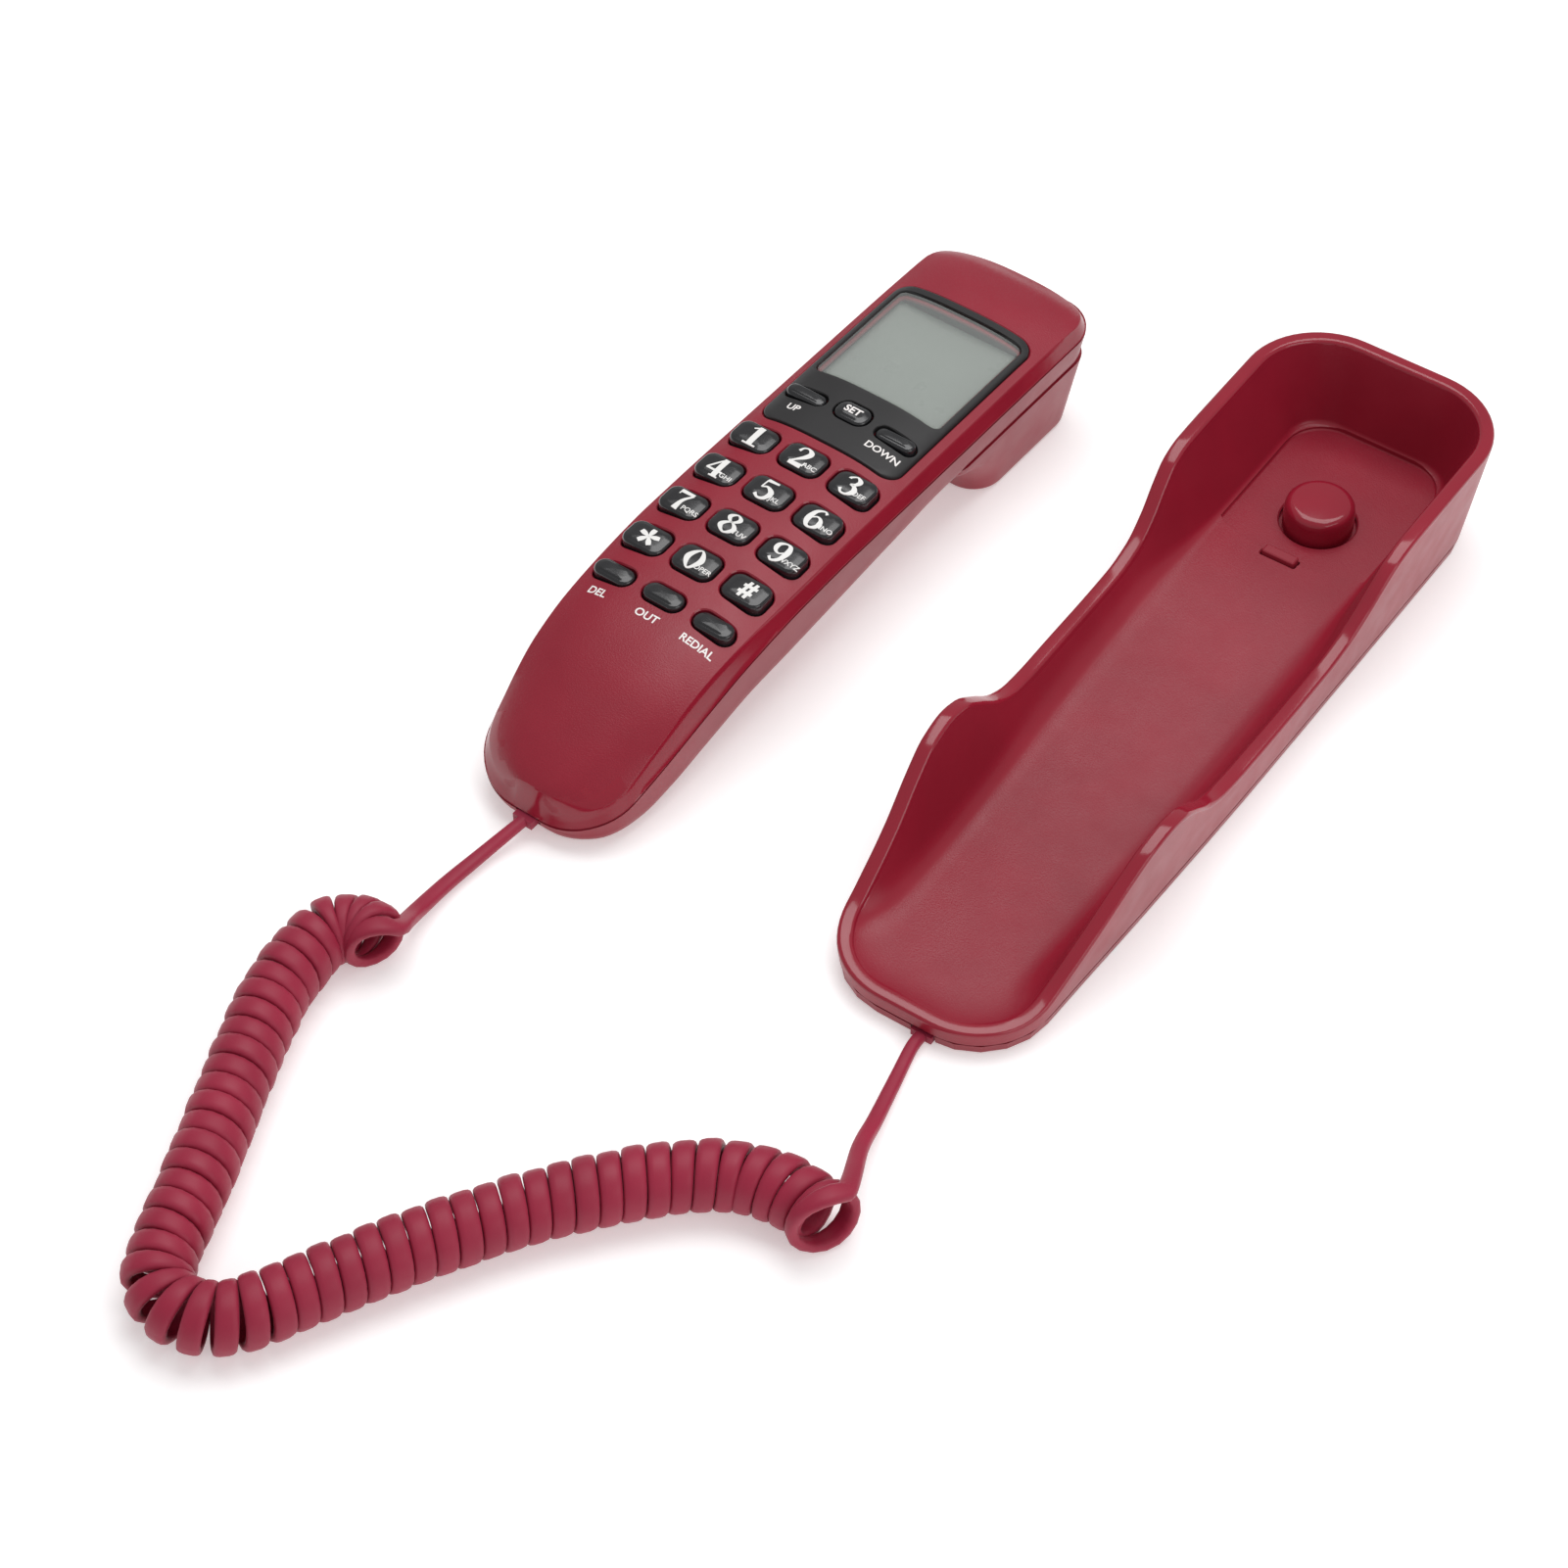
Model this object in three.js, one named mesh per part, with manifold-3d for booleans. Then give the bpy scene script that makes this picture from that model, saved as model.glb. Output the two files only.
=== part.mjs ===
// Slim two-piece corded telephone, in millimetres, +Z up.
// The cradle lies on its flat back, its centre at the origin, its earpiece end towards +Y.
// The handset lies beside it on -X, keypad up, and a curly cord joins their near ends.
import * as THREE from "three";
import { mergeVertices } from "three/addons/utils/BufferGeometryUtils.js";
import Module from "manifold-3d";

const wasm = await Module();
wasm.setup();

// Driving dimensions
const GAP = 0.3; // left between pieces that touch
const OVER = 20; // how far a cutting tool runs past what it cuts

const CRADLE = {
  near: -106.2, // end where the cord leaves, at the back face
  far: 102.2, // earpiece end, at the back face
  nearRadius: 18,
  farRadius: 16,
  flare: 0.13, // the walls lean out by this much per millimetre of height
  plate: 2.6, // thickness of the back plate
  floor: 2, // thickness of the trough floor
  rim: 3.6, // width of the rim
  lean: 5, // how far the inner side walls lean in from the rim to the floor
  farLean: 1.6, // the same for the pocket's end wall
};
const POCKET = { half: 19.4, near: 54.8, bulge: 2.6, far: 98, radius: 10, floor: 10 };
const HOOK = { y: 68.5, hole: 9.2, body: 8.4, flange: 11, travel: 3.8, top: 16.7 };
const TAB = { x: -1, y: 52.4, width: 8.6, depth: 2.8, low: 6.4, high: 11.7 };
const KEYHOLE = { places: [44, -39], head: 4.2, slot: 2.2, length: 9 };
const HANDSET = { x: -95.4, y: -12.6, turn: -2.07, near: -95.5, far: 95.5, wall: 2, chamfer: 1.5 };
const BLOCK = { near: 51, far: 91, half: 19.6, flare: 0.13, farFlare: 0.15, radius: 8 };
const PANEL = { half: 19.3, near: 14, far: 71.8, radius: 4, window: 17.8, windowNear: 33.8 };
const KEYS = { column: 14, row: 13.25, first: 6.3, width: 11, height: 8, radius: 2.6, rise: 1.2 };
const CORD = { coil: 7.6, lead: 1.5, height: 7.8 };

// Profiles along the length: [station, value]
const CRADLE_HALF = [[-110, 24.4], [-80, 25], [-50, 25.9], [0, 26.8], [110, 27]];
const RIM_HEIGHT = [
  [-112, 7], [-98, 7.2], [-91, 8.4], [-83, 12], [-73, 17.6], [-63, 24.6], [-56, 28.4], [-49, 29.6],
  [-43, 28.4], [-37, 24.6], [-30, 19.4], [-23, 17], [-14, 16.4], [5, 16.4], [20, 16.8], [29, 18.6],
  [36, 22.6], [42, 27.8], [47, 31.2], [53, 32.6], [64, 32.9], [112, 33],
];
const TROUGH_FLOOR = [[-112, 4.9], [-62, 4.9], [-30, 6], [10, 8.6], [48, 10.8], [112, 10.8]];
const HANDSET_HALF = [
  [-100, 17], [-88, 19.4], [-79, 20.7], [-67, 22], [-44, 22.8], [-24, 23.3], [100, 23.3],
];
const FACE_CROWN = [
  [-97, 12.6], [-92, 15.8], [-84, 20.4], [-74, 25.2], [-65, 29], [-55, 32], [-47, 33.3], [-35, 34.6],
  [-21, 35.4], [-7, 35.8], [25, 36.1], [60, 35.9], [78, 35.2], [88, 33.8], [96, 31],
];
const FACE_EDGE = [
  [-97, 8.6], [-88, 12.6], [-80, 17.2], [-74, 21], [-65, 25.6], [-55, 28.8], [-44, 30.6], [-35, 31.4],
  [-24, 32], [-4, 32.4], [60, 32.5], [80, 32.2], [88, 31.6], [96, 29.9],
];
const PARTING = [
  [-97, 5.8], [-89, 8.6], [-79, 12.6], [-67.5, 17.6], [-55, 21.6], [-44, 24.4], [-24, 27.6], [-5, 28.2],
  [96, 28.2],
];
const UNDERSIDE = [
  [-97, 2.6], [-92, 0.8], [-87, 0.1], [-79, 0.1], [-69, 2.6], [-57, 6.1], [-39, 10.3], [-6, 13.7],
  [15, 15.6], [32, 16.9], [96, 17],
];

// A smooth curve through [station, value] points that never overshoots them.
function profile(points) {
  const last = points.length - 1;
  const slope = points.slice(1).map((p, i) => (p[1] - points[i][1]) / (p[0] - points[i][0]));
  const tangent = points.map((p, i) => {
    if (i === 0 || i === last) return 0;
    const [a, b] = [slope[i - 1], slope[i]];
    return a * b <= 0 ? 0 : (2 * a * b) / (a + b);
  });
  return (s) => {
    let i = 0;
    while (i < last - 1 && s > points[i + 1][0]) i++;
    const width = points[i + 1][0] - points[i][0];
    const t = THREE.MathUtils.clamp((s - points[i][0]) / width, 0, 1);
    const [a, b] = [points[i][1], points[i + 1][1]];
    const [ta, tb] = [tangent[i] * width, tangent[i + 1] * width];
    return a + ta * t + (3 * (b - a) - 2 * ta - tb) * t ** 2 + (2 * (a - b) + ta + tb) * t ** 3;
  };
}
const cradleHalf = profile(CRADLE_HALF);
const rimHeight = profile(RIM_HEIGHT);
const troughFloor = profile(TROUGH_FLOOR);
const handsetHalf = profile(HANDSET_HALF);
const faceCrown = profile(FACE_CROWN);
const faceEdge = profile(FACE_EDGE);
const parting = profile(PARTING);
const underside = profile(UNDERSIDE);

// Solids
function toSolid(geometry) {
  const bare = new THREE.BufferGeometry();
  bare.setAttribute("position", geometry.getAttribute("position"));
  if (geometry.index) bare.setIndex(geometry.index);
  const merged = mergeVertices(bare, 1e-4);
  const build = (triVerts) =>
    new wasm.Manifold(
      new wasm.Mesh({
        numProp: 3,
        vertProperties: new Float32Array(merged.attributes.position.array),
        triVerts,
      }),
    );
  const triVerts = new Uint32Array(merged.index.array);
  const made = build(triVerts);
  return made.volume() > 0 ? made : build(triVerts.reverse());
}

function toGeometry(solid) {
  const { numProp, vertProperties, triVerts } = solid.getMesh();
  const points = [];
  for (let i = 0; i < vertProperties.length; i += numProp) points.push(...vertProperties.subarray(i, i + 3));
  return new THREE.BufferGeometry()
    .setAttribute("position", new THREE.Float32BufferAttribute(points, 3))
    .setIndex([...triVerts]);
}

const cut = (solid, ...tools) => tools.reduce((left, tool) => left.subtract(tool), solid);

// A closed skin over rings of equal length. Each ring starts on the plane x = 0 and is mirrored
// about it, so that the first and last rings close with a ladder of cross strips.
function skin(rings) {
  const size = rings[0].length;
  const faces = [];
  const quad = (a, b, c, d) => faces.push(a, b, c, a, c, d);
  for (let r = 0; r < rings.length - 1; r++)
    for (let i = 0; i < size; i++) {
      const j = (i + 1) % size;
      quad(r * size + i, r * size + j, (r + 1) * size + j, (r + 1) * size + i);
    }
  for (const [start, flip] of [[0, true], [(rings.length - 1) * size, false]])
    for (let i = 0; i < size / 2; i++) {
      const strip = [i, i + 1, (size - i - 1) % size, (size - i) % size].map((k) => start + k);
      const [a, b, c, d] = flip ? strip.reverse() : strip;
      if (i === 0) faces.push(...(flip ? [b, c, d] : [a, b, c]));
      else if (i === size / 2 - 1) faces.push(...(flip ? [a, c, d] : [a, b, d]));
      else quad(a, b, c, d);
    }
  const geometry = new THREE.BufferGeometry();
  geometry.setAttribute("position", new THREE.Float32BufferAttribute(rings.flat(2), 3));
  return toSolid(geometry.setIndex(faces));
}

const mirrored = (half) => [...half, ...half.slice(1, -1).reverse().map(([x, y, z]) => [-x, y, z])];
const range = (count, from, to) => [...Array(count)].map((_, i) => from + ((to - from) * i) / (count - 1));

function box(width, depth, height, x, y, z) {
  return toSolid(new THREE.BoxGeometry(width, depth, height).translate(x, y, z + height / 2));
}

function disc(radius, height, x, y, z, sides = 32) {
  const upright = new THREE.CylinderGeometry(radius, radius, height, sides).rotateX(Math.PI / 2);
  return toSolid(upright.translate(x, y, z + height / 2));
}

function lathe(points, x, y, sides = 32) {
  const outline = points.map(([r, z]) => new THREE.Vector2(r, z));
  return toSolid(new THREE.LatheGeometry(outline, sides).rotateX(Math.PI / 2).translate(x, y, 0));
}

function roundedOutline(width, height, radius, segments = 4) {
  const [w, h] = [width / 2, height / 2];
  const points = [];
  for (const [x, y, from] of [[w, h, 0], [-w, h, 1], [-w, -h, 2], [w, -h, 3]])
    for (const step of range(segments + 1, 0, 1)) {
      const angle = ((from + step) * Math.PI) / 2;
      const [cx, cy] = [x - Math.sign(x) * radius, y - Math.sign(y) * radius];
      points.push(new THREE.Vector2(cx + radius * Math.cos(angle), cy + radius * Math.sin(angle)));
    }
  return points;
}

function plate(outline, low, high) {
  const shape = new THREE.Shape(outline);
  const slab = new THREE.ExtrudeGeometry(shape, { depth: high - low, bevelEnabled: false });
  return toSolid(slab.translate(0, 0, low));
}

function roundedPlate(width, height, radius, x, y, low, high, segments) {
  return plate(roundedOutline(width, height, radius, segments), low, high).translate([x, y, 0]);
}

// Cradle

const CORNER_STEPS = 5;
const SIDE_STATIONS = [
  -80, -73, -67, -61, -56, -51, -46, -41, -36, -30, -23, -10, 15, 26, 33, 39, 44, 49, 56, 72,
];

// One ring of the cradle: the outline at the back face, moved in by inset and out with the flare.
// height and inset are numbers or functions of y.
function cradleRing(height, inset) {
  const value = (v, y) => (typeof v === "function" ? v(y) : v);
  const ring = [];
  const corner = (centreY, radius, from, to) => {
    for (const angle of range(CORNER_STEPS + 1, from, to)) {
      const station = centreY + radius * Math.sin(angle);
      const z = value(height, station);
      const reach = radius - value(inset, station) + CRADLE.flare * z;
      const centreX = cradleHalf(centreY) - radius;
      ring.push([centreX + reach * Math.cos(angle), centreY + reach * Math.sin(angle), z]);
    }
  };
  const side = (y) => {
    const z = value(height, y);
    ring.push([cradleHalf(y) - value(inset, y) + CRADLE.flare * z, y, z]);
  };
  const end = (y, out) => {
    const z = value(height, y);
    ring.push([0, y + out * (CRADLE.flare * z - value(inset, y)), z]);
  };
  end(CRADLE.near, -1);
  corner(CRADLE.near + CRADLE.nearRadius, CRADLE.nearRadius, -Math.PI / 2, 0);
  SIDE_STATIONS.forEach(side);
  corner(CRADLE.far - CRADLE.farRadius, CRADLE.farRadius, 0, Math.PI / 2);
  end(CRADLE.far, 1);
  return mirrored(ring);
}

// Height of the inner wall from the floor (0) to the rim (1), and how far it stands in from outside:
// a wide fillet along the trough, a nearly straight wall in the earpiece pocket.
const wallHeight = (t) => (y) => troughFloor(y) + t * (rimHeight(y) - 0.8 - troughFloor(y));
const wallInset = (t) => (y) => {
  const { lerp, smoothstep } = THREE.MathUtils;
  const power = lerp(1.9, 1.1, smoothstep(y, 20, 60));
  const lean = lerp(CRADLE.lean, CRADLE.farLean, smoothstep(y, 86, CRADLE.far));
  return CRADLE.rim + lean * (1 - t) ** power;
};

function pocketOutline() {
  const { half, near, far } = POCKET;
  const shape = new THREE.Shape();
  shape.moveTo(-half, near + 2);
  shape.quadraticCurveTo(-half, near, 2 - half, near - 0.4);
  shape.quadraticCurveTo(0, near - 2 * POCKET.bulge, half - 2, near - 0.4);
  shape.quadraticCurveTo(half, near, half, near + 2);
  shape.absarc(half - POCKET.radius, far - POCKET.radius, POCKET.radius, 0, Math.PI / 2);
  shape.absarc(POCKET.radius - half, far - POCKET.radius, POCKET.radius, Math.PI / 2, Math.PI);
  return shape.getPoints(6);
}

const screwPlaces = [[-22.6, -62], [22.6, -62], [-23.4, 34], [23.4, 34]];
const grommetX = 5;
const SOCKET = { width: 12.4, depth: 11.8, height: 7, low: 0.6 };
const socketMiddle = CRADLE.far - GAP - SOCKET.depth / 2;

// The notch in the far end that takes the line socket, up to the given height
const socketNotch = (low, height) =>
  box(SOCKET.width + 2 * GAP, OVER, height, 0, CRADLE.far - SOCKET.depth - 2 * GAP + OVER / 2, low);

function cradleTub() {
  const top = (y) => rimHeight(y);
  const below = (y) => Math.max(troughFloor(y) - CRADLE.floor, CRADLE.plate + GAP + 0.2);
  const bottom = CRADLE.plate + GAP;
  const body = skin([
    cradleRing(wallHeight(0), wallInset(0)),
    cradleRing(wallHeight(0.08), wallInset(0.08)),
    cradleRing(wallHeight(0.28), wallInset(0.28)),
    cradleRing(wallHeight(0.6), wallInset(0.6)),
    cradleRing(wallHeight(1), wallInset(1)),
    cradleRing(top, 2.6),
    cradleRing(top, 1),
    cradleRing((y) => top(y) - 0.9, 0),
    cradleRing(bottom, 0),
    cradleRing(bottom, 2),
    cradleRing(below, 7),
  ]);
  return cut(
    body,
    plate(pocketOutline(), POCKET.floor, POCKET.floor + 2),
    disc(HOOK.hole, OVER, 0, HOOK.y, 0, 40),
    box(TAB.width + 0.6, TAB.depth + 0.6, OVER, TAB.x, TAB.y, 0),
    socketNotch(0, SOCKET.low + SOCKET.height + GAP),
    ...screwPlaces.map(([x, y]) => disc(1.5, 6, x, y, 0, 12)),
  );
}

function cradlePlate() {
  const body = skin([cradleRing(0, 0.4), cradleRing(0.5, 0), cradleRing(CRADLE.plate, 0)]);
  const { head, slot, length } = KEYHOLE;
  const keyhole = (y) => [
    disc(head, OVER, 0, y, -1, 24),
    roundedPlate(2 * slot, length + slot, slot - 0.01, 0, y + length / 2, -1, 5),
  ];
  return cut(
    body,
    ...KEYHOLE.places.flatMap(keyhole),
    socketNotch(-1, OVER),
    box(6, OVER, OVER, grommetX, CRADLE.near - OVER / 2 + 8, -1),
    ...screwPlaces.flatMap(([x, y]) => [disc(1.6, OVER, x, y, -1, 12), disc(3, 2.6, x, y, -1, 20)]),
  );
}

function lineSocket() {
  const { width, depth, height, low } = SOCKET;
  const mouth = { width: 9.6, height: 5, low: 1.6 };
  const latch = { width: 5, height: 1.6, low: 0.2 };
  return cut(
    box(width, depth, height, 0, socketMiddle, low),
    ...[mouth, latch].map((way) => box(way.width, 10, way.height, 0, socketMiddle + 2, way.low)),
  );
}

function hookPlunger() {
  const { body, flange, top } = HOOK;
  const low = 7.7; // underside of the flange
  return lathe(
    [
      [0, top - 2], [body - 2.2, top - 2], [body - 2.2, low], [flange, low], [flange, low + 0.8],
      [body, low + 0.8], [body, top - 3.4], [body - 0.5, top - 1.8], [body - 1.3, top - 0.7],
      [body - 2.4, top - 0.25], [3, top - 0.05], [0, top],
    ],
    0,
    HOOK.y,
  );
}

// The sleeve a helical spring fills, between the back plate and the plunger's crown.
function hookSpring() {
  const [inner, outer] = [4, 5];
  const [low, high] = [CRADLE.plate + GAP, HOOK.top - 2.3];
  return lathe([[inner, low], [outer, low], [outer, high], [inner, high], [inner, low]], 0, HOOK.y, 20);
}

// A screw put in from below, its head at z.
function screw(headRadius, headHeight, length, x, y, z) {
  const shank = 1.1;
  const [neck, tip] = [z + headHeight, z + length];
  const outline = [[0, z], [headRadius, z], [headRadius, neck], [shank, neck], [shank, tip], [0, tip]];
  return lathe(outline, x, y, 16);
}

function retainingTab() {
  const { width, depth, low, high, x, y } = TAB;
  return box(width, depth, high - low, x, y, low);
}

// Handset, in its own frame: x across, y along, z up from the surface it lies on

const STATIONS = [
  -95.5, -94.8, -94, -91.5, -88, -84, -79, -74, -69, -63, -56, -48, -39, -28, -14, 2, 20, 38, 56, 74, 84,
  88, 91, 92.8, 94, 94.8, 95.5,
];
const END_RADIUS = { near: 13, far: 11 };

// Half width at a station, rounded off towards both ends.
function handsetWidth(y) {
  const round = (distance, radius) =>
    distance >= radius ? 0 : radius - Math.sqrt(radius ** 2 - (radius - Math.max(distance, 0)) ** 2);
  return handsetHalf(y) - round(y - HANDSET.near, END_RADIUS.near) - round(HANDSET.far - y, END_RADIUS.far);
}

// Height of the face as a share of its full height, falling to the parting line in the end chamfers.
function endShare(y) {
  const distance = Math.min(y - HANDSET.near, HANDSET.far - y);
  return THREE.MathUtils.clamp(distance / HANDSET.chamfer, 0.1, 1);
}

const crownAt = (y, across) => faceCrown(y) - (faceCrown(y) - faceEdge(y)) * Math.abs(across) ** 3;

// Sections of the upper shell. shrink moves the skin in; low is where the section ends below.
function faceSection(y, shrink, low) {
  const parted = handsetWidth(y) - shrink;
  const edge = parted - HANDSET.chamfer;
  const lifted = (z) => THREE.MathUtils.lerp(parting(y) + GAP / 2, z - shrink, endShare(y));
  const half = [
    ...[0, 0.35, 0.62, 0.82, 0.94, 1].map((t) => [t * edge, y, lifted(crownAt(y, t))]),
    [parted, y, parting(y) + GAP / 2],
  ];
  if (low < GAP / 2) half.push([parted, y, parting(y) + low]);
  half.push([0, y, parting(y) + Math.min(low, GAP / 2)]);
  return mirrored(half);
}

// Sections of the lower shell, open upwards for the hollow when high is above the parting line.
function backSection(y, shrink, high) {
  const parted = handsetWidth(y) - shrink;
  const top = parting(y) - GAP / 2;
  const floor = underside(y) + shrink;
  const corner = Math.min(6, 0.6 * (top - floor), 0.5 * parted);
  const wall = parted - 0.9;
  const arc = range(5, 0, Math.PI / 2).map((a) => [
    wall - corner + corner * Math.cos(a),
    y,
    floor + corner - corner * Math.sin(a),
  ]);
  return mirrored([[0, y, top + high], [parted, y, top + high], ...arc, [0, y, floor]]);
}

function inset(stations, distance) {
  const [low, high] = [HANDSET.near + distance, HANDSET.far - distance];
  return [low, ...stations.filter((y) => y > low + 0.5 && y < high - 0.5), high];
}

// A slab that follows the crowned face, from low to high above it, for the display panel and lens.
function faceSlab(low, high) {
  const across = range(7, 0, 21);
  const stations = range(9, 8, 76);
  return skin(
    stations.map((y) => {
      const edge = handsetWidth(y) - HANDSET.chamfer;
      const line = (rise) => across.map((x) => [x, y, crownAt(y, x / edge) + rise]);
      return mirrored([...line(high), ...line(low).reverse()]);
    }),
  );
}

function panelPlate(grow, low, high) {
  const { half, near, far, radius } = PANEL;
  const middle = (near + far) / 2;
  return roundedPlate(2 * (half + grow), far - near + 2 * grow, radius + grow, 0, middle, low, high);
}

function windowPlate(grow, low, high) {
  const far = PANEL.far - 2.4;
  const middle = (PANEL.windowNear + far) / 2;
  return roundedPlate(2 * (PANEL.window + grow), far - PANEL.windowNear + 2 * grow, 2, 0, middle, low, high);
}

// Keys: name, place, size and how far each rises above the face
const digitNames = ["1", "2", "3", "4", "5", "6", "7", "8", "9", "star", "0", "hash"];
const digitKeys = digitNames.map((digit, i) => ({
  name: "key_" + digit,
  x: ((i % 3) - 1) * KEYS.column,
  y: KEYS.first - Math.floor(i / 3) * KEYS.row,
  width: KEYS.width,
  height: KEYS.height,
  radius: KEYS.radius,
}));
const functionKeys = ["del", "out", "redial"].map((name, i) => ({
  name: "key_" + name,
  x: (i - 1) * KEYS.column,
  y: KEYS.first - 3 * KEYS.row - 12,
  width: 10.4,
  height: 5.2,
  radius: 2.5,
}));
const panelKeys = [
  { name: "key_up", x: -12.7, y: 24.6, width: 10.6, height: 4, radius: 1.9 },
  { name: "key_set", x: 0, y: 25.4, width: 9, height: 6, radius: 2.6 },
  { name: "key_down", x: 12.7, y: 24.6, width: 10.6, height: 4, radius: 1.9 },
];
const faceKeys = [...digitKeys, ...functionKeys];
const allKeys = [...faceKeys, ...panelKeys];
const KEY_FOOT = 29.6;

function keyHole({ x, y, width, height, radius }) {
  return roundedPlate(width + 0.8, height + 0.8, radius + 0.4, x, y, 15, 50, 2);
}

function keyTop({ x, y }) {
  return crownAt(y, x / (handsetWidth(y) - HANDSET.chamfer)) + KEYS.rise;
}

function keyCap(key) {
  const { x, y, width, height, radius } = key;
  const top = keyTop(key);
  const crown = 0.8;
  const cap = roundedPlate(width, height, radius, x, y, KEY_FOOT, top - crown, 2);
  const dome = toSolid(
    new THREE.ExtrudeGeometry(new THREE.Shape(roundedOutline(width - 1.6, height - 1.6, radius - 0.8, 2)), {
      depth: 0.3,
      bevelThickness: crown - 0.3,
      bevelSize: 0.79,
      bevelSegments: 1,
    }).translate(x, y, top - crown),
  );
  return cap.add(dome);
}

function faceShell() {
  const outer = skin(STATIONS.map((y) => faceSection(y, 0, GAP / 2)));
  const hollow = skin(inset(STATIONS, HANDSET.wall).map((y) => faceSection(y, HANDSET.wall, -3)));
  const recess = faceSlab(-1.3, 6).intersect(panelPlate(GAP, 0, 60));
  return cut(
    outer,
    hollow,
    recess,
    windowPlate(-0.8, 20, 50),
    ...faceKeys.map(keyHole),
    ...panelKeys.map(keyHole),
  );
}

// How far the block's near face sweeps back towards the grip as it rises.
const blockReach = profile([[0, 0], [4, 1.2], [10, 4.5], [15, 9.5], [19, 17], [30, 17]]);

// The earpiece block under the far end, from its flat sound face up into the lower shell.
function blockRing(z, grow) {
  const half = BLOCK.half + BLOCK.flare * z + grow;
  const far = BLOCK.far + BLOCK.farFlare * z + grow;
  const near = BLOCK.near - blockReach(z) - grow;
  const ring = roundedOutline(2 * half, far - near, BLOCK.radius + grow, 5);
  return [...ring.slice(12), ...ring.slice(0, 12)].map((p) => [p.x, p.y + (far + near) / 2, z]);
}

function ringStack(rings) {
  const size = rings[0].length;
  const faces = [];
  for (let r = 0; r < rings.length - 1; r++)
    for (let i = 0; i < size; i++) {
      const [a, b] = [r * size + i, r * size + ((i + 1) % size)];
      faces.push(a, b, b + size, a, b + size, a + size);
    }
  for (let i = 1; i < size - 1; i++) {
    const top = (rings.length - 1) * size;
    faces.push(0, i + 1, i, top, top + i, top + i + 1);
  }
  const geometry = new THREE.BufferGeometry();
  geometry.setAttribute("position", new THREE.Float32BufferAttribute(rings.flat(2), 3));
  return toSolid(geometry.setIndex(faces));
}

const soundRing = 6; // radius of the ring of sound holes round the middle one
const soundHoles = [0, 60, 120, 180, 240, 300].map(THREE.MathUtils.degToRad);
const soundPlaces = [[0, 0], ...soundHoles.map((a) => [soundRing * Math.cos(a), soundRing * Math.sin(a)])];
const earpieceY = 70;
const microphoneY = -83;
const screwsY = [-30, 14];

function backShell() {
  const grip = skin(STATIONS.map((y) => backSection(y, 0, 0)));
  const block = ringStack([
    blockRing(0, -2), blockRing(0.6, -0.7), blockRing(1.8, 0), blockRing(5, 0), blockRing(9, 0),
    blockRing(13, 0), blockRing(17, 0), blockRing(20, 0),
  ]);
  const hollow = skin(inset(STATIONS, HANDSET.wall).map((y) => backSection(y, HANDSET.wall, 3)));
  const chamber = ringStack([
    blockRing(2, -2.4), blockRing(5, -2), blockRing(9, -2), blockRing(13, -2), blockRing(19.5, -2),
  ]);
  return cut(
    grip.add(block),
    hollow,
    chamber,
    box(6, 12, 5, 0, HANDSET.near + 1, 3.3),
    ...soundPlaces.map(([x, y]) => disc(1, 8, x, earpieceY + y, -2, 8)),
    disc(0.8, 8, 0, microphoneY, -2, 8),
    ...screwsY.flatMap((y) => [
      disc(1.5, OVER, 0, y, underside(y) - 2, 12),
      disc(3, 2.9, 0, y, underside(y) - 2, 20),
    ]),
  );
}

function displayPanel() {
  const slab = faceSlab(-1, 0.4).intersect(panelPlate(0, 0, 60));
  return cut(slab, windowPlate(0, 0, 60), ...panelKeys.map(keyHole));
}

function displayLens() {
  return faceSlab(-1, 0.2).intersect(windowPlate(-GAP, 0, 60));
}

// Cord: the curly lengths are tubes of the curl's outer size; the two leads are thin tubes.
const coilRoutes = {
  cord_curl_start: [[-97, -156], [-99.6, -155.6], [-102.2, -154.8]],
  cord_curl_handset: [
    [-113.4, -153], [-113.6, -157.5], [-113.2, -163], [-112, -170], [-110.4, -180], [-106.4, -191.6],
    [-101.3, -204.6], [-96.2, -217], [-91.6, -228.6],
  ],
  cord_curl_bend: [
    [-91.2, -229.6], [-88.4, -237.6], [-85.6, -244.6], [-81.6, -250.4], [-75.4, -252.6], [-68.6, -250.8],
    [-63.2, -245.6], [-59.2, -238.4],
  ],
  cord_curl_cradle: [
    [-58.7, -237.4], [-55, -230.4], [-46.6, -215], [-40.8, -205.4], [-34, -194.8], [-26.6, -185.2],
    [-19.6, -177], [-12.2, -169.4], [-4.4, -163.4], [4, -159.8], [11.6, -158.8], [18.4, -158.6],
  ],
};
const leadRoutes = {
  cord_lead_handset: [
    [-99.1, -111.2, 4.8], [-99.7, -116, 4.4], [-100.8, -124, 3.6], [-102, -132, 3], [-103.2, -140, 2.7],
    [-103.9, -146.6, 2.4],
  ],
  cord_lead_cradle: [
    [5, -107.6, 1.6], [5.2, -111, 1.6], [7.2, -120.6, 1.7], [10.4, -132, 2.4], [13.6, -142, 4.6],
    [15.4, -149.2, 7.6],
  ],
};

function tube(points, radius, steps, sides) {
  const route = new THREE.CatmullRomCurve3(points.map((p) => new THREE.Vector3(...p)));
  const circle = range(sides + 1, 0, 2 * Math.PI)
    .slice(1)
    .map((a) => new THREE.Vector2(radius * Math.cos(a), radius * Math.sin(a)));
  const shape = new THREE.Shape(circle);
  return toSolid(new THREE.ExtrudeGeometry(shape, { steps, extrudePath: route, bevelEnabled: false }));
}

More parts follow.
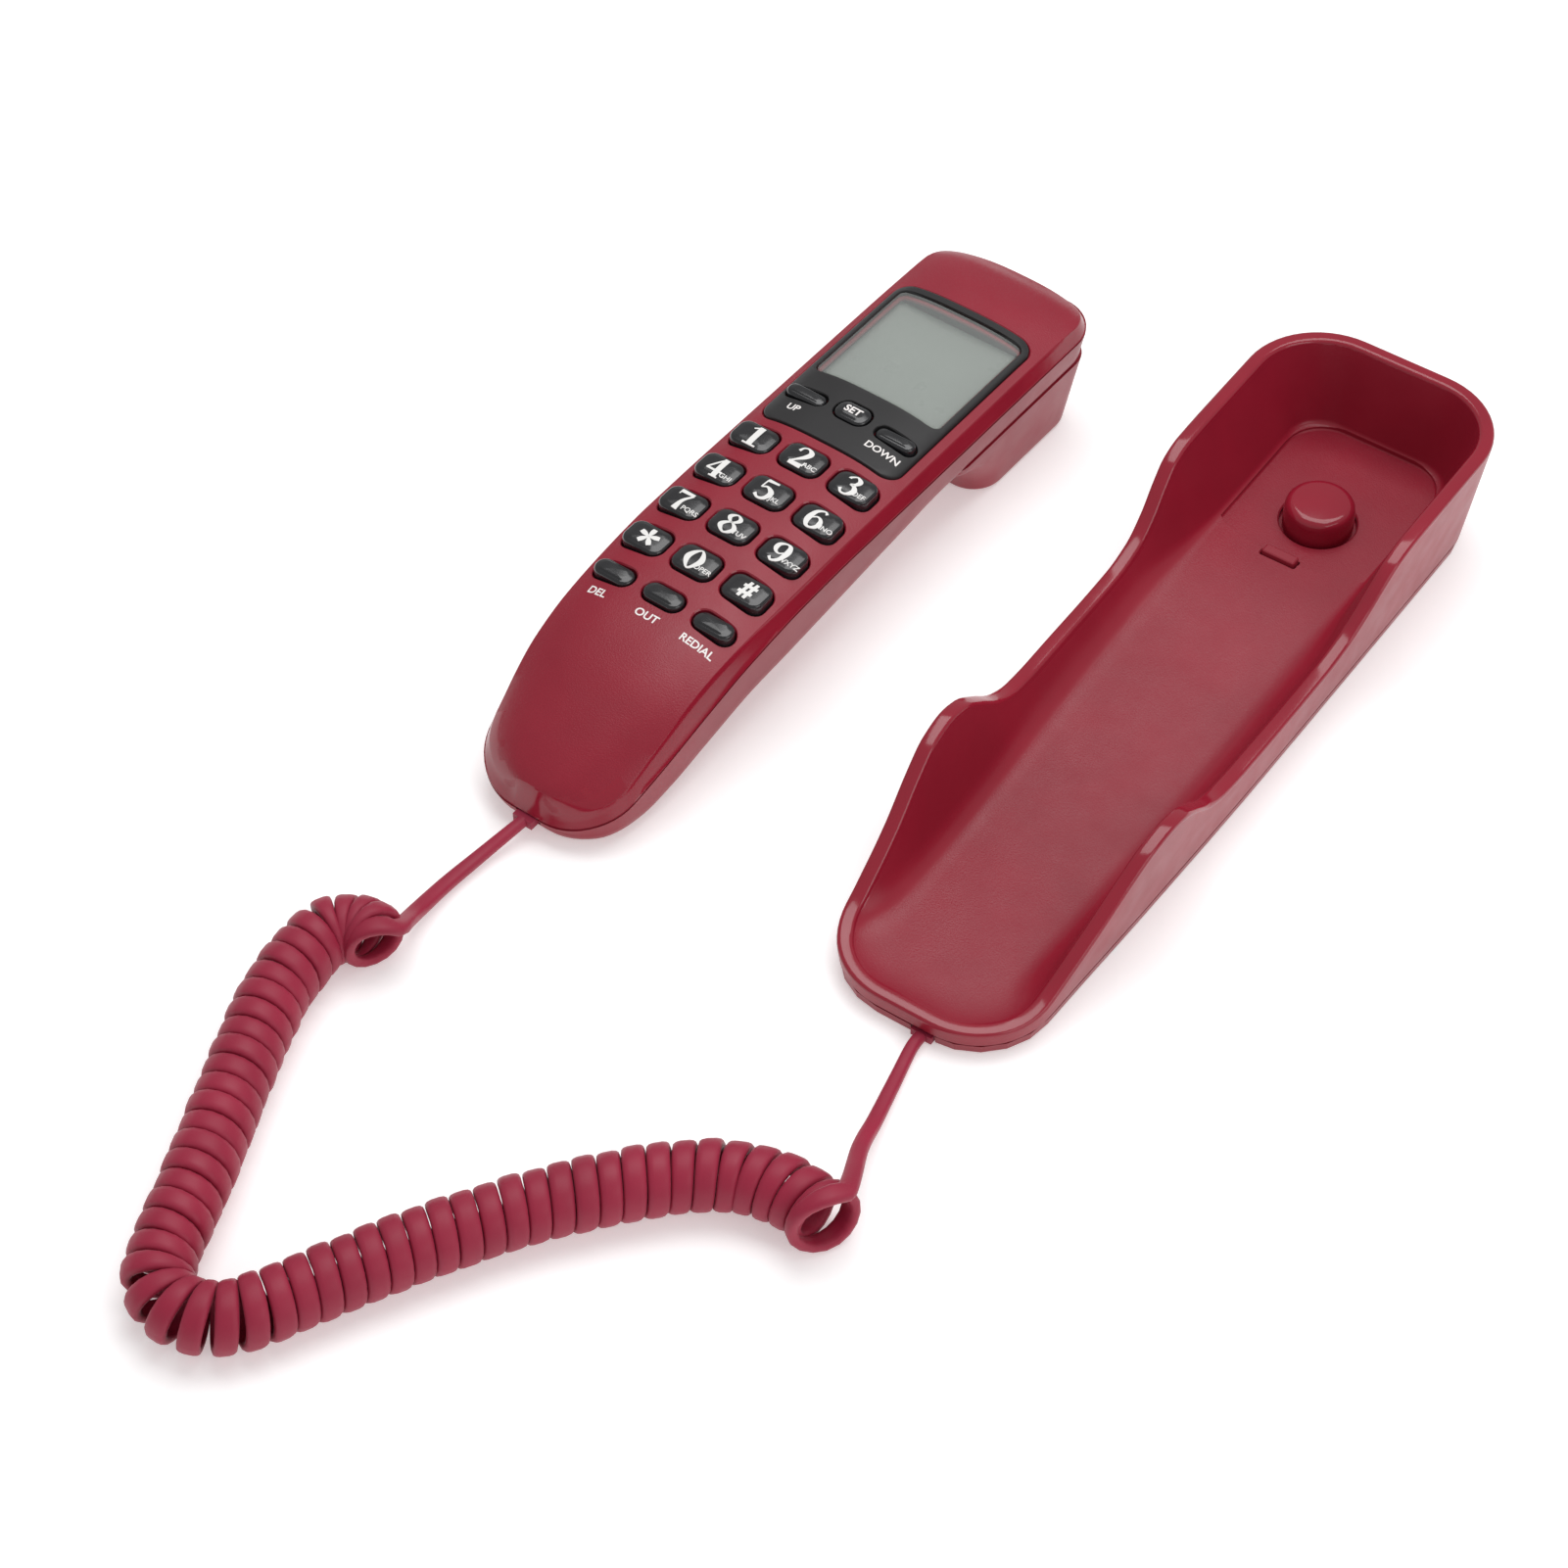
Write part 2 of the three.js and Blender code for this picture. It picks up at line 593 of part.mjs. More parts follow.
const curl = (route) => {
  const points = route.map(([x, y]) => [x, y, CORD.height]);
  const length = new THREE.CatmullRomCurve3(points.map((p) => new THREE.Vector3(...p))).getLength();
  return tube(points, CORD.coil, Math.max(2, Math.round(length / 6)), 12);
};

// Materials
function material(color, roughness, metalness = 0) {
  return new THREE.MeshStandardMaterial({ color, roughness, metalness });
}
const shellRed = () => material(0x8f2233, 0.38);
const keyBlack = () => material(0x1b1b1e, 0.25);
const cordRed = () => material(0xa02040, 0.55);
const steel = () => material(0xb8babd, 0.3, 1);

function add(group, name, solid, look) {
  const mesh = new THREE.Mesh(toGeometry(solid), look);
  mesh.name = name;
  group.add(mesh);
}

const phone = new THREE.Group();

const cradle = new THREE.Group();
add(cradle, "cradle_tub", cradleTub(), shellRed());
add(cradle, "cradle_back_plate", cradlePlate(), shellRed());
add(cradle, "hook_plunger", hookPlunger(), shellRed());
add(cradle, "hook_spring", hookSpring(), steel());
add(cradle, "hook_switch", box(4, 10, 3.4, 15.6, HOOK.y, 3), keyBlack());
add(cradle, "retaining_tab", retainingTab(), shellRed());
add(cradle, "cradle_board", box(28, 40, 1.2, 0, 10, 3), material(0x2f6b3c, 0.5));
add(cradle, "ringer_disc", disc(7.5, 0.8, 0, 14, 4.5), material(0xc8a24a, 0.35, 1));
add(cradle, "line_socket", lineSocket(), keyBlack());
add(cradle, "cradle_grommet", box(5.2, 7, 2, grommetX, CRADLE.near + 2.6, 0.4), cordRed());
screwPlaces.forEach(([x, y], i) => {
  add(cradle, "cradle_screw_" + (i + 1), screw(2.6, 1, 5, x, y, 0.3), steel());
});
phone.add(cradle);

const handset = new THREE.Group();
handset.position.set(HANDSET.x, HANDSET.y, 0);
handset.rotation.z = THREE.MathUtils.degToRad(HANDSET.turn);
add(handset, "handset_face_shell", faceShell(), shellRed());
add(handset, "handset_back_shell", backShell(), shellRed());
add(handset, "display_panel", displayPanel(), material(0x26262a, 0.35));
add(handset, "display_lens", displayLens(), material(0xdfe6e2, 0.05));
add(handset, "display_glass", box(35, 34.6, 1.6, 0, 51.6, 29.5), material(0x8f968d, 0.3));
add(handset, "keypad_mat", box(36, 62, 1, 0, -18, 27.2), material(0x3a3a3d, 0.8));
add(handset, "handset_board", box(37, 104, 1.2, 0, 10, 25.6), material(0x2f6b3c, 0.5));
add(handset, "earpiece_capsule", disc(14, 6, 0, earpieceY, 2.8), keyBlack());
add(handset, "microphone_capsule", disc(4.8, 3, 0, microphoneY, 2.6, 20), keyBlack());
add(handset, "handset_grommet", box(5.2, 7, 2.2, 0, HANDSET.near + 1.9, 3.7), cordRed());
screwsY.forEach((y, i) => {
  add(handset, "handset_screw_" + (i + 1), screw(2.5, 0.8, 7, 0, y, underside(y) - 0.1), steel());
});
for (const key of allKeys) add(handset, key.name, keyCap(key), keyBlack());
phone.add(handset);

const cord = new THREE.Group();
for (const [name, route] of Object.entries(coilRoutes)) add(cord, name, curl(route), cordRed());
for (const [name, route] of Object.entries(leadRoutes)) {
  add(cord, name, tube(route, CORD.lead, 12, 8), cordRed());
}
phone.add(cord);

export default phone;
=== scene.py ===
import math

import bmesh
import bpy
import numpy as np
from mathutils import Matrix, Vector


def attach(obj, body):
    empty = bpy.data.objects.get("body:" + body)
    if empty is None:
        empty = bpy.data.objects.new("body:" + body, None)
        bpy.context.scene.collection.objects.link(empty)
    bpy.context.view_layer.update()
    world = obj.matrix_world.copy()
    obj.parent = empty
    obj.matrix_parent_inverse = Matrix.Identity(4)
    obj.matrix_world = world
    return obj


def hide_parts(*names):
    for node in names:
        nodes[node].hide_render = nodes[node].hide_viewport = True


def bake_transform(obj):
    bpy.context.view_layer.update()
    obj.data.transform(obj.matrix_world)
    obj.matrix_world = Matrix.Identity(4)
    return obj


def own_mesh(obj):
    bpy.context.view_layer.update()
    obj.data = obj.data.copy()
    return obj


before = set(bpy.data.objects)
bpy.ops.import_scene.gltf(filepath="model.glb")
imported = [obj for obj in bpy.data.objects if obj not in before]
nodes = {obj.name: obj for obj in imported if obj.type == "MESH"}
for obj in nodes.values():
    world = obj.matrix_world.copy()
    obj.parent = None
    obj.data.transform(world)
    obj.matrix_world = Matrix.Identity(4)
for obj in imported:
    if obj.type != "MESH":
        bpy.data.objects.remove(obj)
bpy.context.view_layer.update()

MM = 0.001
scene = bpy.context.scene


# ---------------------------------------------------------------- camera

CAMERA_PLACE = (274.9, -544.0, 653.6)
CAMERA_TARGET = (-60.4, -63.9, 0.0)
CAMERA_LENS = 89.94


def make_camera():
    data = bpy.data.cameras.new("camera")
    data.lens = CAMERA_LENS
    data.sensor_width = 36
    data.clip_start = 0.05
    camera = bpy.data.objects.new("camera", data)
    scene.collection.objects.link(camera)
    camera.location = Vector(CAMERA_PLACE) * MM
    aim = (Vector(CAMERA_TARGET) - Vector(CAMERA_PLACE)).normalized()
    camera.rotation_mode = "QUATERNION"
    camera.rotation_quaternion = aim.to_track_quat("-Z", "Y")
    scene.camera = camera


make_camera()


# ---------------------------------------------------------------- materials


def shader_of(material):
    return material.node_tree.nodes["Principled BSDF"]


def surface(
    name, colour, roughness, grain=1.0, bump=0.05, vary=0.08, wear=0.0, mottle=0.06, wear_colour=None, **fixed
):
    """A moulded or printed surface: clouded colour, uneven gloss, a fine grain and lighter edges.

    grain is the size of the grain in millimetres, bump its depth, vary the spread of the roughness,
    mottle the spread of the colour and wear the strength of the rubbed edges. fixed holds shader
    sockets by name.
    """
    material = bpy.data.materials.new(name)
    material.use_nodes = True
    tree = material.node_tree
    shader = shader_of(material)
    for socket, value in fixed.items():
        shader.inputs[socket.replace("_", " ")].default_value = value
    place = tree.nodes.new("ShaderNodeTexCoord").outputs["Object"]

    def noise(size_mm, detail):
        made = tree.nodes.new("ShaderNodeTexNoise")
        made.inputs["Scale"].default_value = 1000 / size_mm
        made.inputs["Detail"].default_value = detail
        tree.links.new(place, made.inputs["Vector"])
        return made.outputs["Fac"]

    def spread(source, low, high, from_low=0.3, from_high=0.7):
        made = tree.nodes.new("ShaderNodeMapRange")
        made.inputs["From Min"].default_value = from_low
        made.inputs["From Max"].default_value = from_high
        made.inputs["To Min"].default_value = low
        made.inputs["To Max"].default_value = high
        tree.links.new(source, made.inputs["Value"])
        return made.outputs["Result"]

    def mix(factor, a, b):
        made = tree.nodes.new("ShaderNodeMix")
        made.data_type = "RGBA"
        tree.links.new(factor, made.inputs["Factor"])
        for socket, value in (("A", a), ("B", b)):
            target = [s for s in made.inputs if s.name == socket and s.type == "RGBA"][0]
            if isinstance(value, bpy.types.NodeSocket):
                tree.links.new(value, target)
            else:
                target.default_value = (*value, 1)
        return [s for s in made.outputs if s.type == "RGBA"][0]

    deep = [c * (1 - mottle) for c in colour]
    light = [min(1, c * (1 + mottle)) for c in colour]
    tint = mix(spread(noise(18, 3), 0, 1), deep, light)
    rough = spread(noise(7, 5), roughness - vary / 2, roughness + vary / 2)
    if wear:
        pointed = tree.nodes.new("ShaderNodeNewGeometry").outputs["Pointiness"]
        edge = spread(pointed, 0, wear, 0.52, 0.62)
        rubbed = wear_colour or [0.7 * c + 0.06 for c in colour]
        tint = mix(edge, tint, rubbed)
    tree.links.new(tint, shader.inputs["Base Color"])
    tree.links.new(rough, shader.inputs["Roughness"])
    relief = tree.nodes.new("ShaderNodeBump")
    relief.inputs["Strength"].default_value = bump
    relief.inputs["Distance"].default_value = 0.3 * grain * MM
    tree.links.new(noise(grain, 2), relief.inputs["Height"])
    tree.links.new(relief.outputs["Normal"], shader.inputs["Normal"])
    return material


BURGUNDY = (0.29, 0.011, 0.028)
LOOKS = {
    "wall": surface("shell_satin", BURGUNDY, 0.34, grain=0.5, bump=0.06, wear=0.3, Specular_IOR_Level=0.4),
    "polish": surface("shell_polished", BURGUNDY, 0.14, grain=3, bump=0.01, vary=0.04, wear=0.2),
    "texture": surface(
        "shell_sparked", (0.28, 0.011, 0.028), 0.38, grain=0.36, bump=0.6, vary=0.1, Specular_IOR_Level=0.4
    ),
    "key": surface(
        "key_gloss", (0.0085, 0.0085, 0.0105), 0.2, grain=0.8, bump=0.03, vary=0.06, wear=0.5,
        wear_colour=(0.05, 0.05, 0.055), Coat_Weight=0.4, Coat_Roughness=0.12,
    ),
    "panel": surface(
        "panel_satin", (0.024, 0.023, 0.024), 0.4, grain=0.3, bump=0.12, wear=0.3, Specular_IOR_Level=0.3
    ),
    "display": surface(
        "liquid_crystal", (0.245, 0.275, 0.245), 0.3, grain=0.45, bump=0.04, mottle=0.03,
        Specular_IOR_Level=0.3,
    ),
    "print": surface("white_print", (0.86, 0.85, 0.83), 0.5, grain=0.2, bump=0.08, mottle=0.03),
    "label": surface("label_print", (0.92, 0.88, 0.86), 0.5, grain=0.2, bump=0.08, mottle=0.03),
    "cord": surface(
        "cord_sleeve", (0.33, 0.014, 0.045), 0.5, grain=0.35, bump=0.22, vary=0.12, wear=0.4, mottle=0.09,
        wear_colour=(0.3, 0.03, 0.065), Sheen_Weight=0.06, Sheen_Roughness=0.4, Specular_IOR_Level=0.35,
    ),
    "steel": surface("plated_steel", (0.56, 0.56, 0.58), 0.28, grain=0.3, bump=0.05, wear=0.4, Metallic=1),
    "brass": surface("plain_brass", (0.68, 0.46, 0.17), 0.32, grain=0.4, bump=0.06, mottle=0.12, Metallic=1),
    "board": surface("solder_mask", (0.02, 0.14, 0.05), 0.35, grain=1.5, bump=0.12, mottle=0.2, wear=0.3),
    "mat": surface("key_mat", (0.045, 0.045, 0.05), 0.75, grain=0.5, bump=0.25, mottle=0.12, wear=0.3),
    "fitting": surface("black_fitting", (0.02, 0.02, 0.022), 0.45, grain=0.6, bump=0.12, wear=0.5),
    "floor": surface(
        "floor", (0.88, 0.88, 0.88), 0.9, grain=4, bump=0.02, vary=0.04, mottle=0.005,
        Emission_Color=(1, 1, 1, 1), Emission_Strength=0.35,
    ),
}


def clear_lens():
    """Clear plastic over the display, seen only by its gloss."""
    made = surface("clear_lens", (0.72, 0.76, 0.74), 0.07, grain=4, bump=0.01, vary=0.04, mottle=0.02)
    shader_of(made).inputs["Alpha"].default_value = 0.14
    return made


LOOKS["lens"] = clear_lens()


def paint(obj, *names):
    """Give obj these materials, in place of any it had."""
    obj.data.materials.clear()
    for name in names:
        obj.data.materials.append(LOOKS[name])
    return obj


# ---------------------------------------------------------------- mesh helpers


def profile(points):
    """A smooth curve through (station, value) points that never overshoots them."""
    stations, values = np.array(points, float).T
    slope = np.diff(values) / np.diff(stations)
    tangent = np.zeros(len(stations))
    for i in range(1, len(stations) - 1):
        before, after = slope[i - 1], slope[i]
        tangent[i] = 0 if before * after <= 0 else 2 * before * after / (before + after)

    def at(station):
        i = int(np.clip(np.searchsorted(stations, station) - 1, 0, len(slope) - 1))
        width = stations[i + 1] - stations[i]
        t = min(max((station - stations[i]) / width, 0), 1)
        a, b = values[i], values[i + 1]
        ta, tb = tangent[i] * width, tangent[i + 1] * width
        return float(a + ta * t + (3 * (b - a) - 2 * ta - tb) * t**2 + (2 * (a - b) + ta + tb) * t**3)

    return at


def smoothstep(x, low, high):
    t = min(max((x - low) / (high - low), 0), 1)
    return t * t * (3 - 2 * t)


def lerp(a, b, t):
    return a + (b - a) * t


class Anchor:
    """A point of an outline: its corner's centre, its direction outwards and its corner's radius."""

    def __init__(self, x, y, out_x, out_y, radius):
        self.x, self.y, self.out_x, self.out_y, self.radius = x, y, out_x, out_y, radius
        self.station = y + radius * out_y

    def moved(self, inset):
        reach = self.radius - inset
        return self.x + reach * self.out_x, self.y + reach * self.out_y


ACROSS = np.linspace(-1, 1, 15)


def bar(half, near, far, near_radius, far_radius, step=1.5, corner_steps=14):
    """Anchors round a long bar with rounded corners, whose half width is a function of y.

    They run along the near end, up the +X side, back along the far end and down the -X side."""
    chain = []
    for angle in np.linspace(-90, 0, corner_steps + 1)[1:]:
        out_x, out_y = math.cos(math.radians(angle)), math.sin(math.radians(angle))
        centre = near + near_radius
        chain.append((half(centre + near_radius * out_y) - near_radius, centre, out_x, out_y, near_radius))
    low, high = near + near_radius, far - far_radius
    for y in np.linspace(low, high, max(3, round((high - low) / step)) + 1)[1:-1]:
        chain.append((half(y) - near_radius, y, 1, 0, near_radius))
    for angle in np.linspace(0, 90, corner_steps + 1)[:-1]:
        out_x, out_y = math.cos(math.radians(angle)), math.sin(math.radians(angle))
        chain.append((half(high + far_radius * out_y) - far_radius, high, out_x, out_y, far_radius))
    near_x, far_x = half(near) - near_radius, half(far) - far_radius
    return [
        *[Anchor(s * near_x, low, 0, -1, near_radius) for s in ACROSS],
        *[Anchor(*a) for a in chain],
        *[Anchor(-s * far_x, high, 0, 1, far_radius) for s in ACROSS],
        *[Anchor(-x, y, -out_x, out_y, radius) for x, y, out_x, out_y, radius in reversed(chain)],
    ]


def ring(anchors, inset, height, flare=0.0):
    """The outline moved in by inset. height is a number or a function of x and y; with a flare, the
    outline also moves out with height, which is then taken at the anchor's own station."""
    points = []
    for a in anchors:
        pull = inset(a.station) if callable(inset) else inset
        x, y = a.moved(pull)
        if flare:
            z = height(a.station) if callable(height) else height
            x, y = a.moved(pull - flare * z)
        else:
            z = height(x, y) if callable(height) else height
        points.append((x, y, z))
    return points


class Skin:
    """Points and faces of a closed skin, in millimetres."""

    def __init__(self):
        self.points, self.faces = [], []

    def loop(self, points):
        start = len(self.points)
        self.points += [tuple(map(float, p)) for p in points]
        return list(range(start, len(self.points)))

    def bands(self, rings):
        loops = [self.loop(points) for points in rings]
        for a, b in zip(loops, loops[1:]):
            for i in range(len(a)):
                j = (i + 1) % len(a)
                self.faces.append((a[i], a[j], b[j], b[i]))
        return loops

    def patch(self, loop, height=None):
        """Close a bar's loop with rows of faces across it, at height, a function of x and y."""
        across = len(ACROSS)
        side = (len(loop) - 2 * across) // 2
        rows = [loop[:across]]
        for k in range(side):
            right, left = loop[across + k], loop[-1 - k]
            a, b = np.array(self.points[left]), np.array(self.points[right])
            inner = []
            for s in ACROSS[1:-1]:
                x, y, z = lerp(a, b, (s + 1) / 2)
                inner.append((x, y, height(x, y) if height else z))
            rows.append([left, *self.loop(inner), right])
        rows.append(loop[across + side : 2 * across + side][::-1])
        for low, high in zip(rows, rows[1:]):
            for j in range(across - 1):
                self.faces.append((low[j], low[j + 1], high[j + 1], high[j]))

    def fan(self, loop, point):
        (middle,) = self.loop([point])
        self.faces += [(loop[i], loop[(i + 1) % len(loop)], middle) for i in range(len(loop))]


def to_object(name, skin, place=None):
    """An object from a skin, its faces outwards, moved by the matrix place."""
    mesh = bpy.data.meshes.new(name)
    mesh.from_pydata([Vector(p) * MM for p in skin.points], [], skin.faces)
    work = bmesh.new()
    work.from_mesh(mesh)
    bmesh.ops.dissolve_degenerate(work, dist=1e-7, edges=work.edges)
    bmesh.ops.recalc_face_normals(work, faces=work.faces)
    work.to_mesh(mesh)
    work.free()
    if place:
        mesh.transform(place)
    made = bpy.data.objects.new(name, mesh)
    scene.collection.objects.link(made)
    return smooth(made)


def capped(name, rings, low=None, high=None, place=None):
    """An object from a bar's rings, closed with rows of faces at its first and last ring."""
    skin = Skin()
    loops = skin.bands(rings)
    skin.patch(loops[0], low)
    skin.patch(loops[-1], high)
    return to_object(name, skin, place)


def smooth(obj, angle=32):
    obj.data.polygons.foreach_set("use_smooth", [True] * len(obj.data.polygons))
    obj.data.set_sharp_from_angle(angle=math.radians(angle))
    return obj


def bake_modifiers(obj):
    """Make the evaluated mesh the object's own, so that its modifiers are used up."""
    depsgraph = bpy.context.evaluated_depsgraph_get()
    mesh = bpy.data.meshes.new_from_object(obj.evaluated_get(depsgraph))
    obj.modifiers.clear()
    obj.data = mesh
    return obj


def combine(obj, operation, *tools):
    """Cut the tools from obj, or join them to it, and delete them."""
    for tool in tools:
        change = obj.modifiers.new(operation.lower(), "BOOLEAN")
        change.operation = operation
        change.solver = "MANIFOLD"
        change.object = tool
    bake_modifiers(obj)
    for tool in tools:
        bpy.data.objects.remove(tool)
    return smooth(obj)


def cut(obj, *tools):
    return combine(obj, "DIFFERENCE", *tools)


def rounded(width, depth, radius, x=0.0, y=0.0, grow=0.0, steps=6):
    """Points round a rectangle with rounded corners, grown on all sides."""
    w, d, r = width / 2 + grow, depth / 2 + grow, max(radius + grow, 0.01)
    points = []
    for sign_x, sign_y, start in ((1, 1, 0), (-1, 1, 90), (-1, -1, 180), (1, -1, 270)):
        centre_x, centre_y = x + sign_x * (w - r), y + sign_y * (d - r)
        for angle in np.radians(np.linspace(start, start + 90, steps + 1)):
            points.append((centre_x + r * math.cos(angle), centre_y + r * math.sin(angle)))
    return points


def prism(name, rings, place=None):
    """A closed skin over rings of equal length, with flat ends."""
    skin = Skin()
    loops = skin.bands(rings)
    skin.faces += [tuple(loops[0]), tuple(loops[-1])]
    return to_object(name, skin, place)


def merged(tools):
    """Several tools that don't touch, as one object."""
    work = bmesh.new()
    for tool in tools:
        work.from_mesh(tool.data)
        bpy.data.objects.remove(tool)
    mesh = bpy.data.meshes.new("tools")
    work.to_mesh(mesh)
    work.free()
    made = bpy.data.objects.new("tools", mesh)
    scene.collection.objects.link(made)
    return made


def turned(name, outline, x, y, sides=72, place=None):
    """A lathed piece from (radius, height) points that start and end on the axis."""
    skin = Skin()
    turns = np.radians(np.linspace(0, 360, sides, endpoint=False))
    rings = [[(x + r * math.cos(a), y + r * math.sin(a), z) for a in turns] for r, z in outline[1:-1]]
    loops = skin.bands(rings)
    skin.fan(loops[0], (x, y, outline[0][1]))
    skin.fan(loops[-1], (x, y, outline[-1][1]))
    return to_object(name, skin, place)


def finish_piece(obj, body, slot, *replaced):
    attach(obj, body)
    if replaced:
        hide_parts(*replaced)
    return obj


# ---------------------------------------------------------------- cradle

CRADLE_NEAR, CRADLE_FAR = -106.2, 102.2
CRADLE_NEAR_RADIUS, CRADLE_FAR_RADIUS = 18, 16
FLARE = 0.13
PLATE_TOP = 2.9
RIM = 3.7
RIM_ROUND = 1.0
cradle_half_profile = profile([(-110, 24.4), (-80, 25), (-50, 25.9), (0, 26.8), (110, 27)])
rim_height = profile([
    (-112, 7), (-98, 7.2), (-91, 8.4), (-83, 12), (-73, 17.6), (-63, 24.6), (-56, 28.4), (-49, 29.6),
    (-43, 28.4), (-37, 24.6), (-30, 19.4), (-23, 17), (-14, 16.4), (5, 16.4), (20, 16.8), (29, 18.6),
    (36, 22.6), (42, 27.8), (47, 31.2), (53, 32.6), (64, 32.9), (112, 33),
])
trough_floor = profile([(-112, 4.9), (-62, 4.9), (-30, 6), (10, 8.6), (48, 10.8), (112, 10.8)])
POCKET_HALF, POCKET_NEAR, POCKET_FAR, POCKET_RADIUS, POCKET_FLOOR = 19.4, 54.8, 98, 10, 10
HOOK_Y, HOOK_HOLE, HOOK_BODY, HOOK_TOP, HOOK_TRAVEL = 68.5, 9.2, 8.4, 16.7, 3.8
TAB_X, TAB_Y, TAB_WIDTH, TAB_DEPTH = -1, 52.4, 8.6, 2.8
TAB_LOW, TAB_HIGH = 6.4, 11.7
TAB_CLEARANCE = 0.3
OPEN_TOP = 12  # cutting tools for the pocket end here, clear above its floor


def cradle_half(y):
    return cradle_half_profile(np.clip(y, CRADLE_NEAR + CRADLE_NEAR_RADIUS, CRADLE_FAR - CRADLE_FAR_RADIUS))


def inner_wall(y, t):
    """Inset and height of the inner wall from the rim (t = 0) to the floor (t = 1): a straight lean,
    then a fillet that is wide along the trough and tight in the earpiece pocket."""
    pocket = smoothstep(y, 20, 60)
    lean = lerp(lerp(3.0, 4.8, pocket), 1.7, smoothstep(y, 86, CRADLE_FAR))
    fillet = lerp(5.5, 1.6, pocket)
    top = np.array([RIM, rim_height(y) - RIM_ROUND])
    knee = np.array([RIM + lean, trough_floor(y)])
    fall = np.linalg.norm(top - knee)
    start = knee + (top - knee) * min(fillet / fall, 0.85)
    end = knee + np.array([fillet, 0])
    straight = 0.4
    if t <= straight:
        return lerp(top, start, t / straight)
    u = (t - straight) / (1 - straight)
    return (1 - u) ** 2 * start + 2 * u * (1 - u) * knee + u**2 * end


def pocket_front(half, near, share):
    """A point of the pocket's near edge, which bows towards the cord; share runs from -1 to 1."""
    bow, corner = 2.6, 1.6
    return half * share, near + corner * abs(share) ** 8 - bow * (1 - share * share)


def level_ring(points, z):
    return [(x, y, z) for x, y in points]


def make_tub():
    anchors = bar(cradle_half, CRADLE_NEAR, CRADLE_FAR, CRADLE_NEAR_RADIUS, CRADLE_FAR_RADIUS)

    def below(y):
        return max(trough_floor(y) - 2, PLATE_TOP + 0.2)

    def flared(inset, height):
        return ring(anchors, inset, height, FLARE)

    rings = [flared(7, below), flared(2, PLATE_TOP), flared(0.25, PLATE_TOP), flared(0, PLATE_TOP + 0.25)]
    for share in (0.33, 0.66):
        rings.append(flared(0, lambda y, share=share: lerp(PLATE_TOP, rim_height(y) - RIM_ROUND, share)))
    for angle in np.radians(np.linspace(0, 90, 6)):
        inset = RIM_ROUND * (1 - math.cos(angle))
        rings.append(flared(inset, lambda y, a=angle: rim_height(y) - RIM_ROUND * (1 - math.sin(a))))
    for angle in np.radians(np.linspace(90, 0, 6))[:-1]:
        inset = RIM - RIM_ROUND * (1 - math.cos(angle))
        rings.append(flared(inset, lambda y, a=angle: rim_height(y) - RIM_ROUND * (1 - math.sin(a))))
    for t in np.linspace(0, 1, 16):
        rings.append(flared(lambda y, t=t: inner_wall(y, t)[0], lambda y, t=t: inner_wall(y, t)[1]))
    tub = capped("tub", rings)

    def pocket_ring(grow, z):
        half, far = POCKET_HALF + grow, POCKET_FAR + grow
        near = POCKET_NEAR - grow
        front = [pocket_front(half, near, share) for share in np.linspace(-0.99, 0.99, 21)]
        corners = rounded(2 * half, 2 * half, POCKET_RADIUS, 0, far - half, steps=8)[:18]
        return level_ring([*front, *corners], z)

    recess = prism("recess", [
        pocket_ring(-0.25, POCKET_FLOOR), pocket_ring(0, POCKET_FLOOR + 0.3), pocket_ring(0.1, OPEN_TOP),
    ])
    wide = HOOK_HOLE + 0.4
    hole = turned("hole", [
        (0, 0), (HOOK_HOLE, 0), (HOOK_HOLE, 9.7), (wide, 10.05), (wide, 14), (0, 14),
    ], 0, HOOK_Y)
    slot_width, slot_depth = TAB_WIDTH + 2 * TAB_CLEARANCE, TAB_DEPTH + 2 * TAB_CLEARANCE
    slot = prism("slot", [
        level_ring(rounded(slot_width, slot_depth, 0.4, TAB_X, TAB_Y, grow), z)
        for z, grow in ((0, 0), (10.4, 0), (10.85, 0.3), (14, 0.3))
    ])
    # where the line socket opens through the far wall
    notch = prism("notch", [level_ring(rounded(13, 20, 0.3, 0, 99.7), z) for z in (-1, 7.9)])
    edge = [pocket_front(POCKET_HALF, POCKET_NEAR, share) for share in np.linspace(-0.97, 0.97, 25)]
    strip = [*edge, *[(x, y + 0.35) for x, y in reversed(edge)]]
    groove = prism("groove", [level_ring(strip, z) for z in (POCKET_FLOOR - 0.6, OPEN_TOP)])
    cut(tub, recess)
    cut(tub, groove)
    cut(tub, merged([hole, slot, notch]))
    paint(tub, "wall", "polish", "texture")
    for face in tub.data.polygons:
        x, y, z = face.center / MM
        nz = face.normal.z
        if z > rim_height(y) - 1.3 and nz > -0.1:
            face.material_index = 1
        elif nz > 0.93 and z > POCKET_FLOOR - 6:
            face.material_index = 2
    return finish_piece(tub, "cradle", "shell", "cradle_tub")


def make_plunger():
    top, body = HOOK_TOP, HOOK_BODY
    outline = [(0, top - 2), (body - 2.2, top - 2), (body - 2.2, 7.7), (11, 7.7), (11, 8.5), (body, 8.5)]
    outline += [(body, top - 3.2), (body - 0.1, top - 2.6)]
    for angle in np.radians(np.linspace(20, 90, 8)):
        outline.append((body - 2.4 + 2.3 * math.cos(angle), top - 2.45 + 2.2 * math.sin(angle)))
    outline += [(4, top - 0.1), (2, top - 0.02), (0, top)]
    plunger = turned("plunger", outline, 0, HOOK_Y)
    return finish_piece(paint(plunger, "polish"), "plunger", "shell", "hook_plunger")


